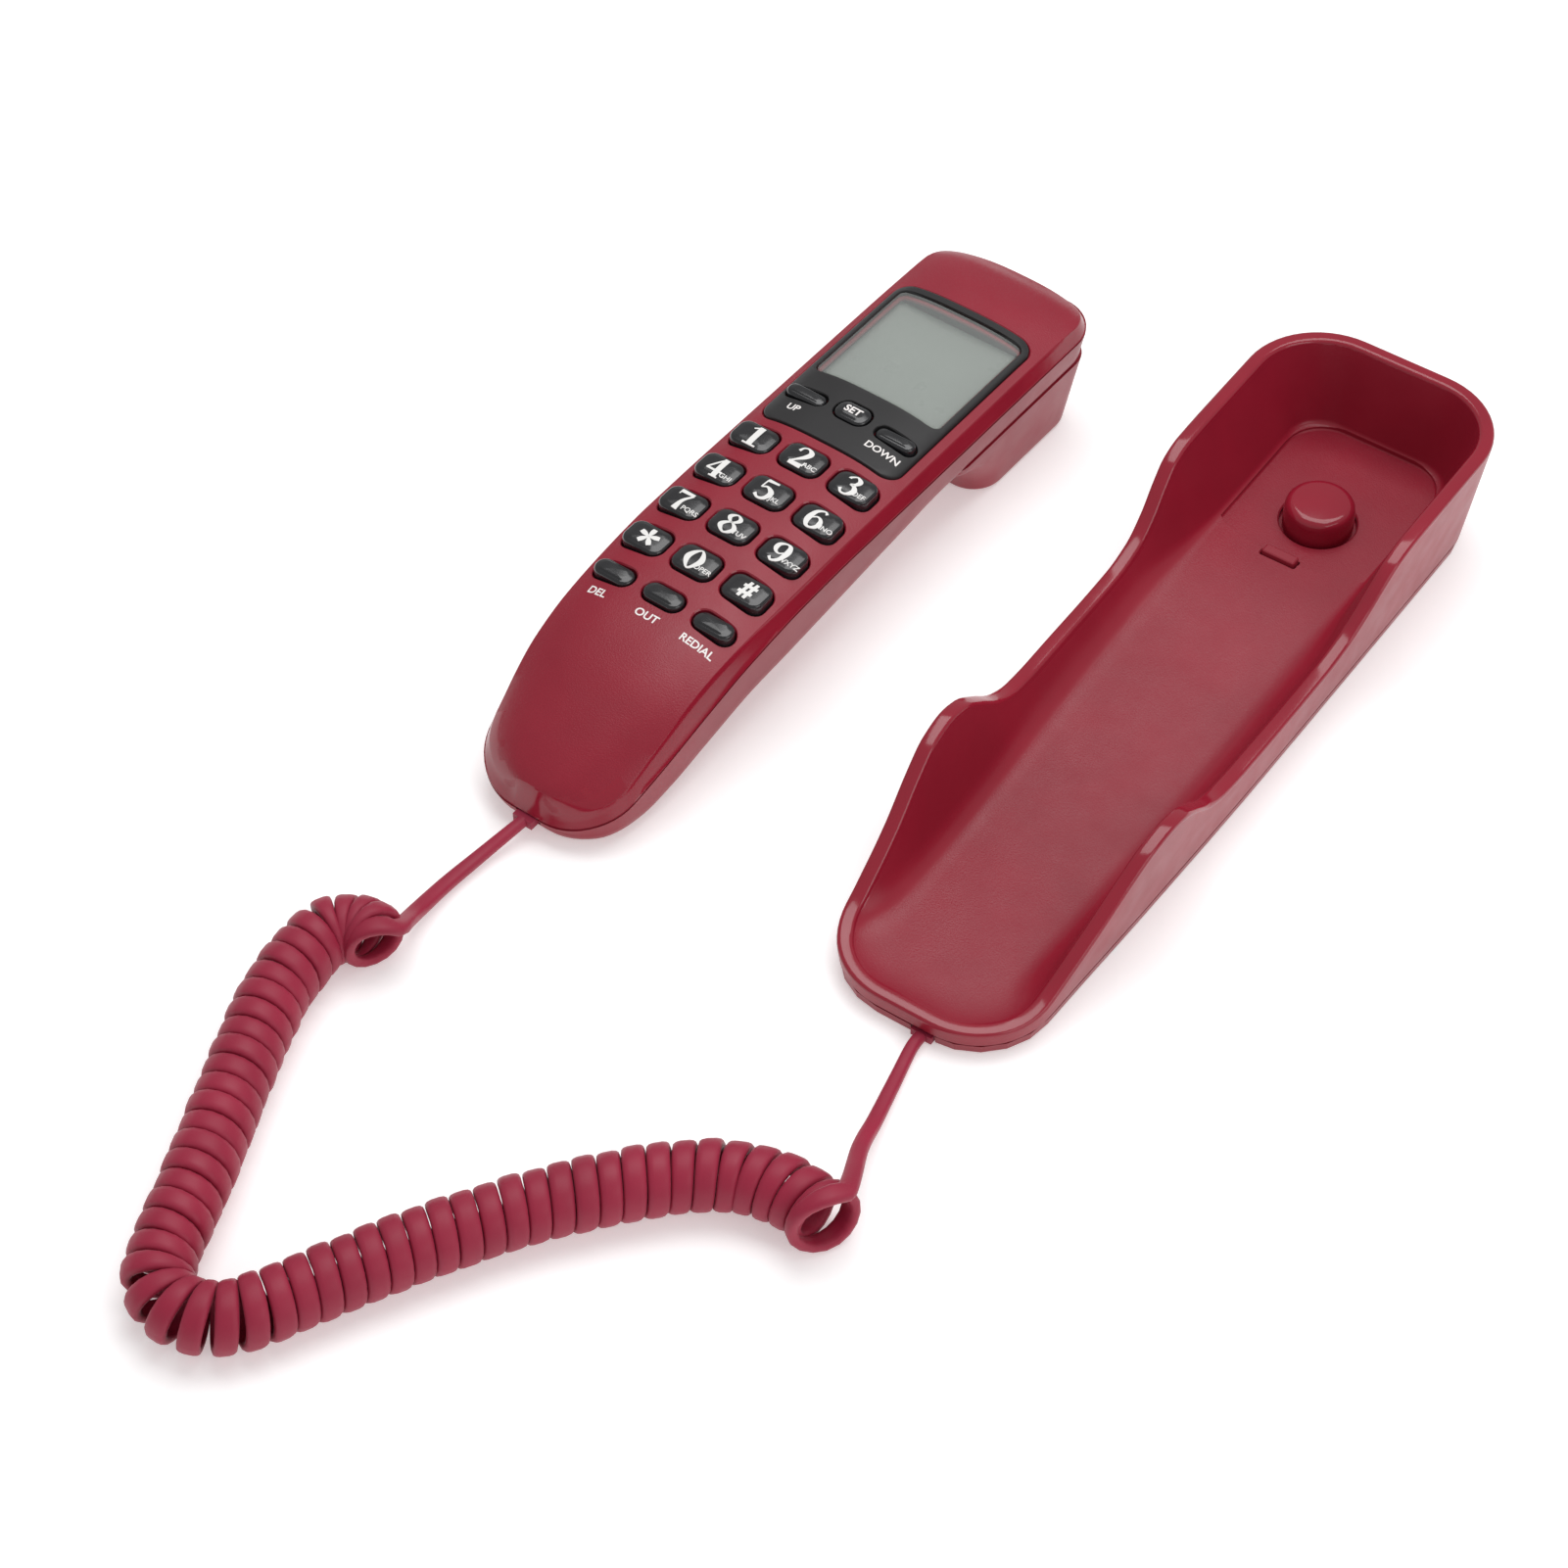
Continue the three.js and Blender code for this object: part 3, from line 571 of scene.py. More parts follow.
def make_tab():
    """The small tab that keeps a hung handset in place, with a rounded top."""
    levels = [(TAB_LOW, 0), (TAB_HIGH - 0.5, 0), (TAB_HIGH - 0.2, -0.1), (TAB_HIGH, -0.4)]
    rings = [level_ring(rounded(TAB_WIDTH, TAB_DEPTH, 0.5, TAB_X, TAB_Y, grow), z) for z, grow in levels]
    tab = prism("tab", rings)
    return finish_piece(paint(tab, "wall"), "tab", "shell", "retaining_tab")


make_tub()
make_plunger()
make_tab()


# ---------------------------------------------------------------- handset

HANDSET_PLACE = (-95.4, -12.6)
HANDSET_TURN = -2.07
HANDSET = (
    Matrix.Translation(Vector((*HANDSET_PLACE, 0)) * MM)
    @ Matrix.Rotation(math.radians(HANDSET_TURN), 4, "Z")
)
HANDSET_NEAR, HANDSET_FAR = -95.5, 95.5
HANDSET_NEAR_RADIUS, HANDSET_FAR_RADIUS = 13, 11
CHAMFER = 1.5
WALL = 2
SEAM = 0.15  # each shell stops this far from the parting line
PANEL_RISE = 0.4
TOOL_LOW, TOOL_HIGH = 15, 60  # cutting tools reach through the face between these heights
handset_half = profile([
    (-100, 17), (-88, 19.4), (-79, 20.7), (-67, 22), (-44, 22.8), (-24, 23.3), (100, 23.3),
])
face_crown = profile([
    (-97, 12.6), (-92, 15.8), (-84, 20.4), (-74, 25.2), (-65, 29), (-55, 32), (-47, 33.3), (-35, 34.6),
    (-21, 35.4), (-7, 35.8), (25, 36.1), (60, 35.9), (78, 35.2), (88, 33.8), (96, 31),
])
face_edge = profile([
    (-97, 8.6), (-88, 12.6), (-80, 17.2), (-74, 21), (-65, 25.6), (-55, 28.8), (-44, 30.6), (-35, 31.4),
    (-24, 32), (-4, 32.4), (60, 32.5), (80, 32.2), (88, 31.6), (96, 29.9),
])
parting = profile([
    (-97, 5.8), (-89, 8.6), (-79, 12.6), (-67.5, 17.6), (-55, 21.6), (-44, 24.4), (-24, 27.6), (-5, 28.2),
    (96, 28.2),
])
underside = profile([
    (-97, 2.6), (-92, 0.8), (-87, 0.1), (-79, 0.1), (-69, 2.6), (-57, 6.1), (-39, 10.3), (-6, 13.7),
    (15, 15.6), (32, 16.9), (96, 17),
])
handset_outline = bar(
    handset_half, HANDSET_NEAR, HANDSET_FAR, HANDSET_NEAR_RADIUS, HANDSET_FAR_RADIUS,
    step=1.6, corner_steps=12,
)


def face_half(y):
    """Half width of the face inside the chamfer at a station."""
    y = min(max(y, HANDSET_NEAR + CHAMFER), HANDSET_FAR - CHAMFER)
    for centre, radius, past in (
        (HANDSET_NEAR + HANDSET_NEAR_RADIUS, HANDSET_NEAR_RADIUS, -1),
        (HANDSET_FAR - HANDSET_FAR_RADIUS, HANDSET_FAR_RADIUS, 1),
    ):
        beyond = (y - centre) * past
        if beyond > 0:
            return handset_half(y) - radius + math.sqrt(max((radius - CHAMFER) ** 2 - beyond**2, 0))
    return handset_half(y) - CHAMFER


def face_height(x, y):
    """Height of the crowned face at a point of the handset."""
    across = min(abs(x) / face_half(y), 1.0)
    return face_crown(y) - (face_crown(y) - face_edge(y)) * across**3


def raised(rise):
    return lambda x, y: face_height(x, y) + rise


def through(outline, *steps):
    """A cutting tool that follows the face: rings of the outline at (rise, grow) steps."""
    rings = [level_ring(outline(0), TOOL_LOW)]
    for rise, grow in steps:
        rings.append([(x, y, face_height(x, y) + rise) for x, y in outline(grow)])
    rings.append(level_ring(outline(steps[-1][1]), TOOL_HIGH))
    return prism("tool", rings)


PANEL_HALF, PANEL_NEAR, PANEL_FAR, PANEL_RADIUS = 19.3, 14, 71.8, 4
WINDOW_HALF, WINDOW_NEAR, WINDOW_FAR, WINDOW_RADIUS = 17.8, 33.8, 69.4, 2


def panel_bar():
    return bar(
        lambda y: PANEL_HALF, PANEL_NEAR, PANEL_FAR, PANEL_RADIUS, PANEL_RADIUS, step=1.8, corner_steps=8
    )


def window_outline(grow):
    middle = (WINDOW_NEAR + WINDOW_FAR) / 2
    return rounded(2 * WINDOW_HALF, WINDOW_FAR - WINDOW_NEAR, WINDOW_RADIUS, 0, middle, grow)


# Each key's body, with its node, place, width, depth and corner radius
COLUMN, ROW, FIRST_ROW = 14, 13.25, 6.3
KEY_FOOT, KEY_RISE = 29.6, 1.2
DIGITS = ["1", "2", "3", "4", "5", "6", "7", "8", "9", "star", "0", "hash"]
KEYS = {}
for i, digit in enumerate(DIGITS):
    KEYS["digit_" + digit] = ("key_" + digit, (i % 3 - 1) * COLUMN, FIRST_ROW - (i // 3) * ROW, 11, 8, 2.6)
for i, word in enumerate(["del", "out", "redial"]):
    KEYS["button_" + word] = ("key_" + word, (i - 1) * COLUMN, FIRST_ROW - 3 * ROW - 12, 10.4, 5.2, 2.5)
KEYS["button_up"] = ("key_up", -12.7, 24.6, 10.6, 4, 1.9)
KEYS["button_set"] = ("key_set", 0, 25.4, 9, 6, 2.6)
KEYS["button_down"] = ("key_down", 12.7, 24.6, 10.6, 4, 1.9)
ON_PANEL = ("button_up", "button_set", "button_down")


def key_outline(body, clearance=0.4):
    _, x, y, width, depth, radius = KEYS[body]
    return lambda grow: rounded(width, depth, radius, x, y, grow + clearance)


def make_face_shell():
    def low(x, y):
        return parting(y) + SEAM

    band = [ring(handset_outline, 0.2, low), ring(handset_outline, 0, lambda x, y: parting(y) + 0.4)]
    for share in np.linspace(0.12, 0.97, 5):
        inset = CHAMFER * share
        band.append(ring(
            handset_outline, inset, lambda x, y, s=share: lerp(parting(y), face_height(x, y), s)
        ))
    band.append(ring(handset_outline, CHAMFER + 0.12, raised(0)))
    inside = [
        ring(handset_outline, WALL + 1.6, raised(-WALL)),
        ring(handset_outline, WALL + 0.6, lambda x, y: max(face_height(x, y) - 4, parting(y) + 0.3)),
        ring(handset_outline, WALL, low),
    ]
    skin = Skin()
    outer = skin.bands(band)
    skin.patch(outer[-1], raised(0))
    inner = skin.bands(inside)
    skin.patch(inner[0], raised(-WALL))
    foot, lip = outer[0], inner[-1]
    for i in range(len(foot)):
        j = (i + 1) % len(foot)
        skin.faces.append((foot[i], foot[j], lip[j], lip[i]))
    shell = to_object("face_shell", skin)
    cut(shell, panel_tool())
    holes = [through(key_outline(b), (-0.3, 0), (0.15, 0.4)) for b in KEYS if b not in ON_PANEL]
    holes += [through(key_outline(b), (0, 0)) for b in ON_PANEL]
    holes.append(through(lambda grow: window_outline(grow - 0.8), (0, 0)))
    cut(shell, merged(holes))
    shell.data.transform(HANDSET)
    paint(shell, "wall", "polish", "texture")
    inverse = HANDSET.inverted()
    for face in shell.data.polygons:
        x, y, z = (inverse @ face.center) / MM
        nz = face.normal.z
        gap = face_height(x, y) - z
        if abs(x) > face_half(y) - 0.05 or not HANDSET_NEAR + CHAMFER < y < HANDSET_FAR - CHAMFER:
            face.material_index = 1
        elif nz > 0.3 and abs(gap) < 0.08:
            face.material_index = 2
        elif nz > 0.1 and gap < 0.5:
            face.material_index = 1
    smooth(shell, 24)
    return finish_piece(shell, "handset", "shell", "handset_face_shell")


def panel_tool():
    """The recess for the display panel, which follows the face."""
    outline = panel_bar()
    return capped("recess", [
        ring(outline, -0.3, raised(-1.3)), ring(outline, -0.3, raised(-0.25)),
        ring(outline, -0.7, raised(0.15)), ring(outline, -0.7, TOOL_HIGH),
    ], raised(-1.3))


BLOCK_NEAR, BLOCK_FAR, BLOCK_HALF, BLOCK_RADIUS = 51, 91, 19.6, 8
BLOCK_FLARE, BLOCK_FAR_FLARE = 0.13, 0.15
block_reach = profile([(0, 0), (4, 1.2), (10, 4.5), (15, 9.5), (19, 17), (30, 17)])
EARPIECE_Y, MICROPHONE_Y = 70, -83
HANDSET_SCREWS_Y = (-30, 14)


def block_ring(z, grow):
    half = BLOCK_HALF + BLOCK_FLARE * z
    far = BLOCK_FAR + BLOCK_FAR_FLARE * z
    near = BLOCK_NEAR - block_reach(z)
    return level_ring(rounded(2 * half, far - near, BLOCK_RADIUS, 0, (near + far) / 2, grow, steps=12), z)


def back_rings(shrink, rise, steps):
    """Rings of the lower shell from its open top down round its rounded bottom edge."""
    def depth(y):
        return max(parting(y) - SEAM - underside(y) - shrink, 1)

    rings = [ring(handset_outline, shrink, lambda x, y: parting(y) - SEAM + rise)]
    if not rise:
        rings.append(ring(handset_outline, shrink + 0.02, lambda x, y: parting(y) - 0.4))
    for angle in np.radians(np.linspace(0, 90, steps)):
        def inset(station, a=angle):
            return shrink + 0.9 + min(6, 0.6 * depth(station)) * (1 - math.cos(a))

        def height(x, y, a=angle):
            corner = min(6, 0.6 * depth(y))
            return underside(y) + shrink + corner * (1 - math.sin(a))
        rings.append(ring(handset_outline, inset, height))
    return rings


def make_back_shell():
    def solid(shrink, rise, steps):
        return capped(
            "grip", back_rings(shrink, rise, steps), lambda x, y: parting(y) - SEAM + rise,
            lambda x, y: underside(y) + shrink,
        )

    grip = solid(0, 0, 9)
    grip.name = grip.data.name = "back_shell"
    levels = []
    for angle in np.radians(np.linspace(90, 0, 6)):
        levels.append(block_ring(0.35 * (1 - math.sin(angle)) * 4, -1.4 * (1 - math.cos(angle))))
    levels += [block_ring(z, 0) for z in np.linspace(2.4, 20, 16)]
    combine(grip, "UNION", prism("block", levels))
    chamber = [block_ring(z, -2) for z in np.linspace(2.2, 19.5, 9)]
    cut(grip, solid(WALL, 3, 5))
    cut(grip, prism("chamber", chamber))
    tools = []
    places = [(0, 0), *[(6 * math.cos(a), 6 * math.sin(a)) for a in np.radians(range(0, 360, 60))]]
    sound_hole = [(0, -2), (1.4, -2), (1.3, 0), (1, 0.35), (1, 6), (0, 6)]
    for x, y in places:
        tools.append(turned("bore", sound_hole, x, EARPIECE_Y + y, 20))
    speech_hole = [(0, -2), (1.1, -2), (1, 0.1), (0.8, 0.4), (0.8, 6), (0, 6)]
    tools.append(turned("bore", speech_hole, 0, MICROPHONE_Y, 20))
    screw_hole = [(0, -2), (3.3, -2), (3, 0.2), (3, 0.9), (1.5, 0.9), (1.5, 8), (0, 8)]
    for y in HANDSET_SCREWS_Y:
        tools.append(turned("bore", [(r, underside(y) + z) for r, z in screw_hole], 0, y, 32))
    notch = rounded(6, 12, 0.4, 0, HANDSET_NEAR + 1)
    tools.append(prism("notch", [level_ring(notch, z) for z in (3.3, 8.3)]))
    cut(grip, merged(tools))
    grip.data.transform(HANDSET)
    paint(grip, "wall", "texture")
    for face in grip.data.polygons:
        if face.normal.z < -0.95 and face.center.z < 0.4 * MM:
            face.material_index = 1
    return finish_piece(grip, "handset", "shell", "handset_back_shell")


def make_panel():
    outline = panel_bar()
    panel = capped("panel", [
        ring(outline, 0, raised(-1)), ring(outline, 0, raised(0.1)), ring(outline, 0.1, raised(0.28)),
        ring(outline, 0.35, raised(PANEL_RISE)),
    ], raised(-1), raised(PANEL_RISE))
    tools = [through(key_outline(b), (0.2, 0), (0.5, 0.25)) for b in ON_PANEL]
    tools.append(through(window_outline, (0.15, 0), (0.5, 0.3)))
    cut(panel, merged(tools))
    panel.data.transform(HANDSET)
    return finish_piece(paint(panel, "panel"), "handset", "panel", "display_panel")


def make_lens():
    gap = 0.3
    near, far, corner = WINDOW_NEAR + gap, WINDOW_FAR - gap, WINDOW_RADIUS - gap
    outline = bar(lambda y: WINDOW_HALF - gap, near, far, corner, corner, step=2, corner_steps=6)
    lens = capped("lens", [
        ring(outline, 0, raised(-1)), ring(outline, 0, raised(0)), ring(outline, 0.25, raised(0.2)),
    ], raised(-1), raised(0.2), HANDSET)
    return finish_piece(paint(lens, "lens"), "handset", "lens", "display_lens")


# ---------------------------------------------------------------- keys and print


KEY_DOME = 0.38


def key_surface(body, x, y):
    """Height of a key's domed top at a point of the handset."""
    _, key_x, key_y, width, depth, _ = KEYS[body]
    top = face_height(key_x, key_y) + KEY_RISE
    away = max(abs(x - key_x) / (width / 2), abs(y - key_y) / (depth / 2))
    return top - KEY_DOME * min(away, 1.2) ** 2.6


def make_key(body):
    node, key_x, key_y, width, depth, radius = KEYS[body]

    def outline(grow):
        return rounded(width, depth, radius, key_x, key_y, grow, steps=8)

    edge = 0.9
    rim_z = face_height(key_x, key_y) + KEY_RISE - KEY_DOME
    rings = [level_ring(outline(0), KEY_FOOT), level_ring(outline(0), rim_z - edge)]
    for angle in np.radians(np.linspace(15, 90, 6)):
        rise, inset = edge * math.sin(angle), edge * (1 - math.cos(angle))
        height, below = rim_z - edge + rise, 0.12 * (1 - math.sin(angle))
        rings.append([(x, y, min(height, key_surface(body, x, y) - below)) for x, y in outline(-inset)])
    last = outline(-edge)
    for share in (0.88, 0.74, 0.58, 0.4, 0.2):
        spots = [(lerp(key_x, x, share), lerp(key_y, y, share)) for x, y in last]
        rings.append([(x, y, key_surface(body, x, y)) for x, y in spots])
    skin = Skin()
    loops = skin.bands(rings)
    skin.faces.append(tuple(loops[0]))
    skin.fan(loops[-1], (key_x, key_y, key_surface(body, key_x, key_y)))
    cap = to_object("cap_" + node[4:], skin, HANDSET)
    smooth(cap, 50)
    return finish_piece(paint(cap, "key"), body, "keys", node)


# Strokes of each figure as (x, y, width) in a box 0.72 wide and 1 high
STROKES = {
    "1": [[(0.08, 0.80, 0.06), (0.36, 0.98, 0.10)], [(0.36, 1, 0.24), (0.36, 0.02, 0.24)],
          [(0.08, 0.03, 0.07), (0.64, 0.03, 0.07)]],
    "2": [[(0.12, 0.72, 0.12), (0.2, 0.93, 0.08), (0.4, 0.98, 0.1), (0.6, 0.8, 0.22), (0.52, 0.55, 0.2),
           (0.3, 0.3, 0.1), (0.1, 0.08, 0.08)], [(0.08, 0.08, 0.16), (0.62, 0.08, 0.2)],
          [(0.64, 0.1, 0.06), (0.68, 0.3, 0.06)]],
    "3": [[(0.14, 0.78, 0.14), (0.16, 0.85, 0.1), (0.36, 0.98, 0.08), (0.58, 0.8, 0.2), (0.5, 0.6, 0.14),
           (0.32, 0.53, 0.07)],
          [(0.32, 0.53, 0.07), (0.52, 0.48, 0.14), (0.64, 0.26, 0.24), (0.45, 0.05, 0.1),
           (0.22, 0.04, 0.08), (0.1, 0.2, 0.14)]],
    "4": [[(0.46, 1, 0.08), (0.04, 0.3, 0.08)], [(0.02, 0.3, 0.09), (0.7, 0.3, 0.09)],
          [(0.48, 1, 0.22), (0.48, 0.02, 0.22)], [(0.3, 0.03, 0.06), (0.66, 0.03, 0.06)]],
    "5": [[(0.16, 0.94, 0.16), (0.62, 0.96, 0.1)], [(0.16, 0.98, 0.06), (0.13, 0.52, 0.06)],
          [(0.13, 0.52, 0.06), (0.35, 0.62, 0.1), (0.62, 0.42, 0.22), (0.55, 0.12, 0.16), (0.3, 0.02, 0.09),
           (0.1, 0.14, 0.14)]],
    "6": [[(0.6, 0.86, 0.12), (0.45, 0.97, 0.08), (0.2, 0.8, 0.16), (0.12, 0.4, 0.24), (0.2, 0.1, 0.16),
           (0.38, 0.02, 0.08), (0.6, 0.14, 0.16), (0.64, 0.34, 0.2), (0.55, 0.52, 0.12), (0.38, 0.58, 0.07),
           (0.2, 0.46, 0.07)]],
    "7": [[(0.08, 0.92, 0.18), (0.64, 0.92, 0.14)], [(0.08, 1, 0.05), (0.08, 0.74, 0.05)],
          [(0.62, 0.88, 0.08), (0.4, 0.5, 0.14), (0.34, 0.02, 0.24)]],
    "8": [[(0.36, 0.98, 0.07), (0.58, 0.78, 0.18), (0.36, 0.55, 0.07), (0.14, 0.78, 0.18),
           (0.36, 0.98, 0.07)],
          [(0.36, 0.55, 0.07), (0.65, 0.28, 0.2), (0.36, 0.02, 0.07), (0.08, 0.28, 0.2),
           (0.36, 0.55, 0.07)]],
    "0": [[(0.36, 0.98, 0.07), (0.64, 0.5, 0.24), (0.36, 0.02, 0.07), (0.08, 0.5, 0.24), (0.36, 0.98, 0.07)]],
    "hash": [[(0.2, 0.1, 0.14), (0.3, 0.9, 0.14)], [(0.44, 0.1, 0.14), (0.54, 0.9, 0.14)],
             [(0.06, 0.34, 0.14), (0.64, 0.34, 0.14)], [(0.1, 0.66, 0.14), (0.68, 0.66, 0.14)]],
    "star": [[(0.36, 0.5, 0.05), (0.36 + 0.24 * math.sin(a), 0.5 + 0.24 * math.cos(a), 0.2),
              (0.36 + 0.42 * math.sin(a), 0.5 + 0.42 * math.cos(a), 0.18)]
             for a in np.radians(range(0, 360, 72))],
}
STROKES["9"] = [[(0.72 - x, 1 - y, width) for x, y, width in stroke] for stroke in STROKES["6"]]
LETTERS = {
    "2": "ABC", "3": "DEF", "4": "GHI", "5": "JKL", "6": "MNO", "7": "PQRS", "8": "TUV", "9": "WXYZ",
    "0": "OPER",
}
PRINT_RISE, PRINT_DEPTH = 0.045, 0.15


def distances(line):
    """How far along a line of points each one lies."""
    return np.concatenate([[0], np.cumsum(np.linalg.norm(np.diff(line, axis=0), axis=1))])


def directions(line):
    way = np.gradient(line, axis=0)
    return way / np.linalg.norm(way, axis=1)[:, None]


def catmull_rom(points, step, closed=False):
    """Points about step apart on a smooth curve through the given points, which may carry a width as
    a last coordinate: every coordinate counts in the distance."""
    points = [np.array(p, float) for p in points]
    ends = [2 * points[0] - points[1], *points, 2 * points[-1] - points[-2]]
    if closed:
        ends = [points[-2], *points, points[1]]
    fine = []
    for a, b, c, d in zip(ends, ends[1:], ends[2:], ends[3:]):
        for t in np.linspace(0, 1, 30, endpoint=False):
            bend = 2 * a - 5 * b + 4 * c - d
            fine.append(0.5 * (2 * b + (c - a) * t + bend * t**2 + (3 * b - a - 3 * c + d) * t**3))
    fine.append(points[-1])
    fine = np.array(fine)
    along = distances(fine)
    at = np.linspace(0, along[-1], max(2, round(along[-1] / step) + 1))
    return np.stack([np.interp(at, along, fine[:, k]) for k in range(fine.shape[1])], axis=1)


def ribbon(skin, stroke, surface_at):
    """A closed strip along a stroke of (x, y, width) points, lying on a surface."""
    if len(stroke) == 2:
        line = np.linspace(stroke[0], stroke[1], 7)
    else:
        line = catmull_rom(stroke, 0.16, closed=stroke[0] == stroke[-1])
    way = np.gradient(line[:, :2], axis=0)
    if stroke[0] == stroke[-1]:
        way[0] = way[-1] = (line[1] - line[-2])[:2]
    way /= np.linalg.norm(way, axis=1)[:, None]
    side = np.stack([-way[:, 1], way[:, 0]], axis=1) * line[:, 2:3] / 2
    sections = []
    for left, right in zip(line[:, :2] + side, line[:, :2] - side):
        middle = (left + right) / 2
        top = [(*p, surface_at(*p) + PRINT_RISE) for p in (left, middle, right)]
        foot = [(*p, surface_at(*p) - PRINT_DEPTH) for p in (right, middle, left)]
        sections.append([*top, *foot])
    loops = skin.bands(sections)
    skin.faces += [tuple(loops[0]), tuple(loops[-1])]


def words(name, text, size, x, y, surface_at, bold=0.0, stretch=1.0):
    """Upright capitals, centred on a point of the handset and laid on a surface."""
    curve = bpy.data.curves.new(name, "FONT")
    curve.body = text
    curve.size = size
    curve.offset = bold
    curve.extrude = 0.1
    curve.align_x = "CENTER"
    curve.align_y = "CENTER"
    curve.resolution_u = 4
    drawn = bpy.data.objects.new(name, curve)
    scene.collection.objects.link(drawn)
    depsgraph = bpy.context.evaluated_depsgraph_get()
    mesh = bpy.data.meshes.new_from_object(drawn.evaluated_get(depsgraph))
    bpy.data.objects.remove(drawn)
    for v in mesh.vertices:
        px, py = x + v.co.x * stretch, y + v.co.y
        v.co = Vector((px, py, surface_at(px, py) + (PRINT_RISE if v.co.z > 0 else -PRINT_DEPTH))) * MM
    mesh.transform(HANDSET)
    made = bpy.data.objects.new(name, mesh)
    scene.collection.objects.link(made)
    return made


FIGURE_HEIGHT = 6.3
FIGURE_SHIFT = (0.5, -0.3)
LETTERS_ROOM = 0.9  # a figure with letters beside it stands this far to the left
LABEL_SIZE = 2.8


def print_figure(digit):
    body = "digit_" + digit
    _, key_x, key_y, _, _, _ = KEYS[body]
    left = key_x + FIGURE_SHIFT[0] - 0.36 * FIGURE_HEIGHT - (LETTERS_ROOM if digit in LETTERS else 0)
    low = key_y + FIGURE_SHIFT[1] - FIGURE_HEIGHT / 2

    def on_key(x, y):
        return key_surface(body, x, y)

    skin = Skin()
    for stroke in STROKES[digit]:
        placed = [
            (left + FIGURE_HEIGHT * x, low + FIGURE_HEIGHT * y, FIGURE_HEIGHT * w) for x, y, w in stroke
        ]
        ribbon(skin, placed, on_key)
    figure = to_object("print_" + digit, skin, HANDSET)
    finish_piece(paint(figure, "print"), body, "keys")
    if digit in LETTERS:
        small = words("letters_" + digit, LETTERS[digit], 1.9, key_x + 3.1, key_y - 2.1, on_key, 0.02)
        finish_piece(paint(small, "print"), body, "keys")


def make_keys():
    for body in KEYS:
        make_key(body)
    for digit in DIGITS:
        print_figure(digit)
    for text, stretch in (("DEL", 1), ("OUT", 1.05), ("REDIAL", 0.98)):
        _, x, y, _, _, _ = KEYS["button_" + text.lower()]
        label = words("label_" + text.lower(), text, LABEL_SIZE, x, y - 6.3, raised(0), 0.05, stretch)
        finish_piece(paint(label, "label"), "handset", "shell")
    for text in ("UP", "DOWN"):
        _, x, y, _, _, _ = KEYS["button_" + text.lower()]
        label = words("label_" + text.lower(), text, LABEL_SIZE, x, y - 5.3, raised(PANEL_RISE), 0.05)
        finish_piece(paint(label, "label"), "handset", "panel")
    _, x, y, _, _, _ = KEYS["button_set"]
    label = words("label_set", "SET", 2.9, x, y, lambda a, b: key_surface("button_set", a, b), 0.08)
    finish_piece(paint(label, "label"), "button_set", "keys")


def make_spring():
    """The helical spring under the plunger, made at one fixed length from the plate up to the plunger."""
    low, high, wire, radius, turns = PLATE_TOP, HOOK_TOP - 2.3, 0.42, 4.55, 6
    rings = []
    for share in np.linspace(0, 1, turns * 16 + 1):
        angle = 2 * math.pi * turns * share
        rise = smoothstep(share, 0, 1) * 0.25 + share * 0.75
        out = np.array([math.cos(angle), math.sin(angle), 0])
        middle = radius * out + (0, HOOK_Y, lerp(low + wire, high - wire, rise))
        section = []
        for a in np.radians(range(0, 360, 45)):
            section.append(middle + wire * (math.cos(a) * out + (0, 0, math.sin(a))))
        rings.append(section)
    spring = finish_piece(paint(prism("spring", rings), "steel"), "cradle", "steel", "hook_spring")
    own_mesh(spring)


make_spring()
make_face_shell()
make_back_shell()
make_panel()
make_lens()
make_keys()


# ---------------------------------------------------------------- cord

COIL_RADIUS, COIL_PITCH = 6.35, 5.05
RIBBON_WIDTH, RIBBON_THICK = 4.9, 2.5
LEAST_WIDTH = 0.36  # share of the ribbon's width left on the inside of a tight bend
LEAD_ENTRY, LEAD_MEETING = 2.7, 4.3  # width of a lead at its shell and at the coil
TURN_STEPS = 18
COIL_START, COIL_END = 62, 135
END_SHIFT, END_GROWTH = 2.4, 1.7
# Middle of the coil from the cradle's end to the handset's
COIL_ROUTE = [
    (20.6, -163.4), (17.8, -161.4), (13.6, -160.3), (8, -160.1), (2.4, -161), (-4.4, -163.6),
    (-12.2, -169.4), (-19.6, -177), (-26.6, -185.2), (-34, -194.8), (-40.8, -205.4), (-46.6, -215),
    (-55, -230.4), (-58.9, -237.9),
    (-63.2, -245.6), (-68.6, -250.8), (-75.4, -252.6), (-81.6, -250.4), (-85.6, -244.6), (-88.4, -237.6),
    (-91.6, -228.6), (-96.2, -217), (-101.3, -204.6), (-106.4, -191.6), (-110.4, -180), (-111.8, -172),
    (-112.5, -166), (-112.4, -161.7), (-110.8, -158.4), (-107.8, -156.2), (-104.7, -155.8), (-102.3, -156.5),
    (-100.7, -157.5),
]
CRADLE_LEAD = [(5, -107.2, 1.6), (5.2, -111, 1.6), (7.2, -120, 1.7), (10.2, -132, 3.2), (13.2, -142, 7)]
HANDSET_LEAD = [
    (-99.6, -149.4, 9), (-101.8, -143, 5), (-102.6, -132, 2.8), (-101.4, -121, 2.9), (-98.9, -109, 4.8),
]


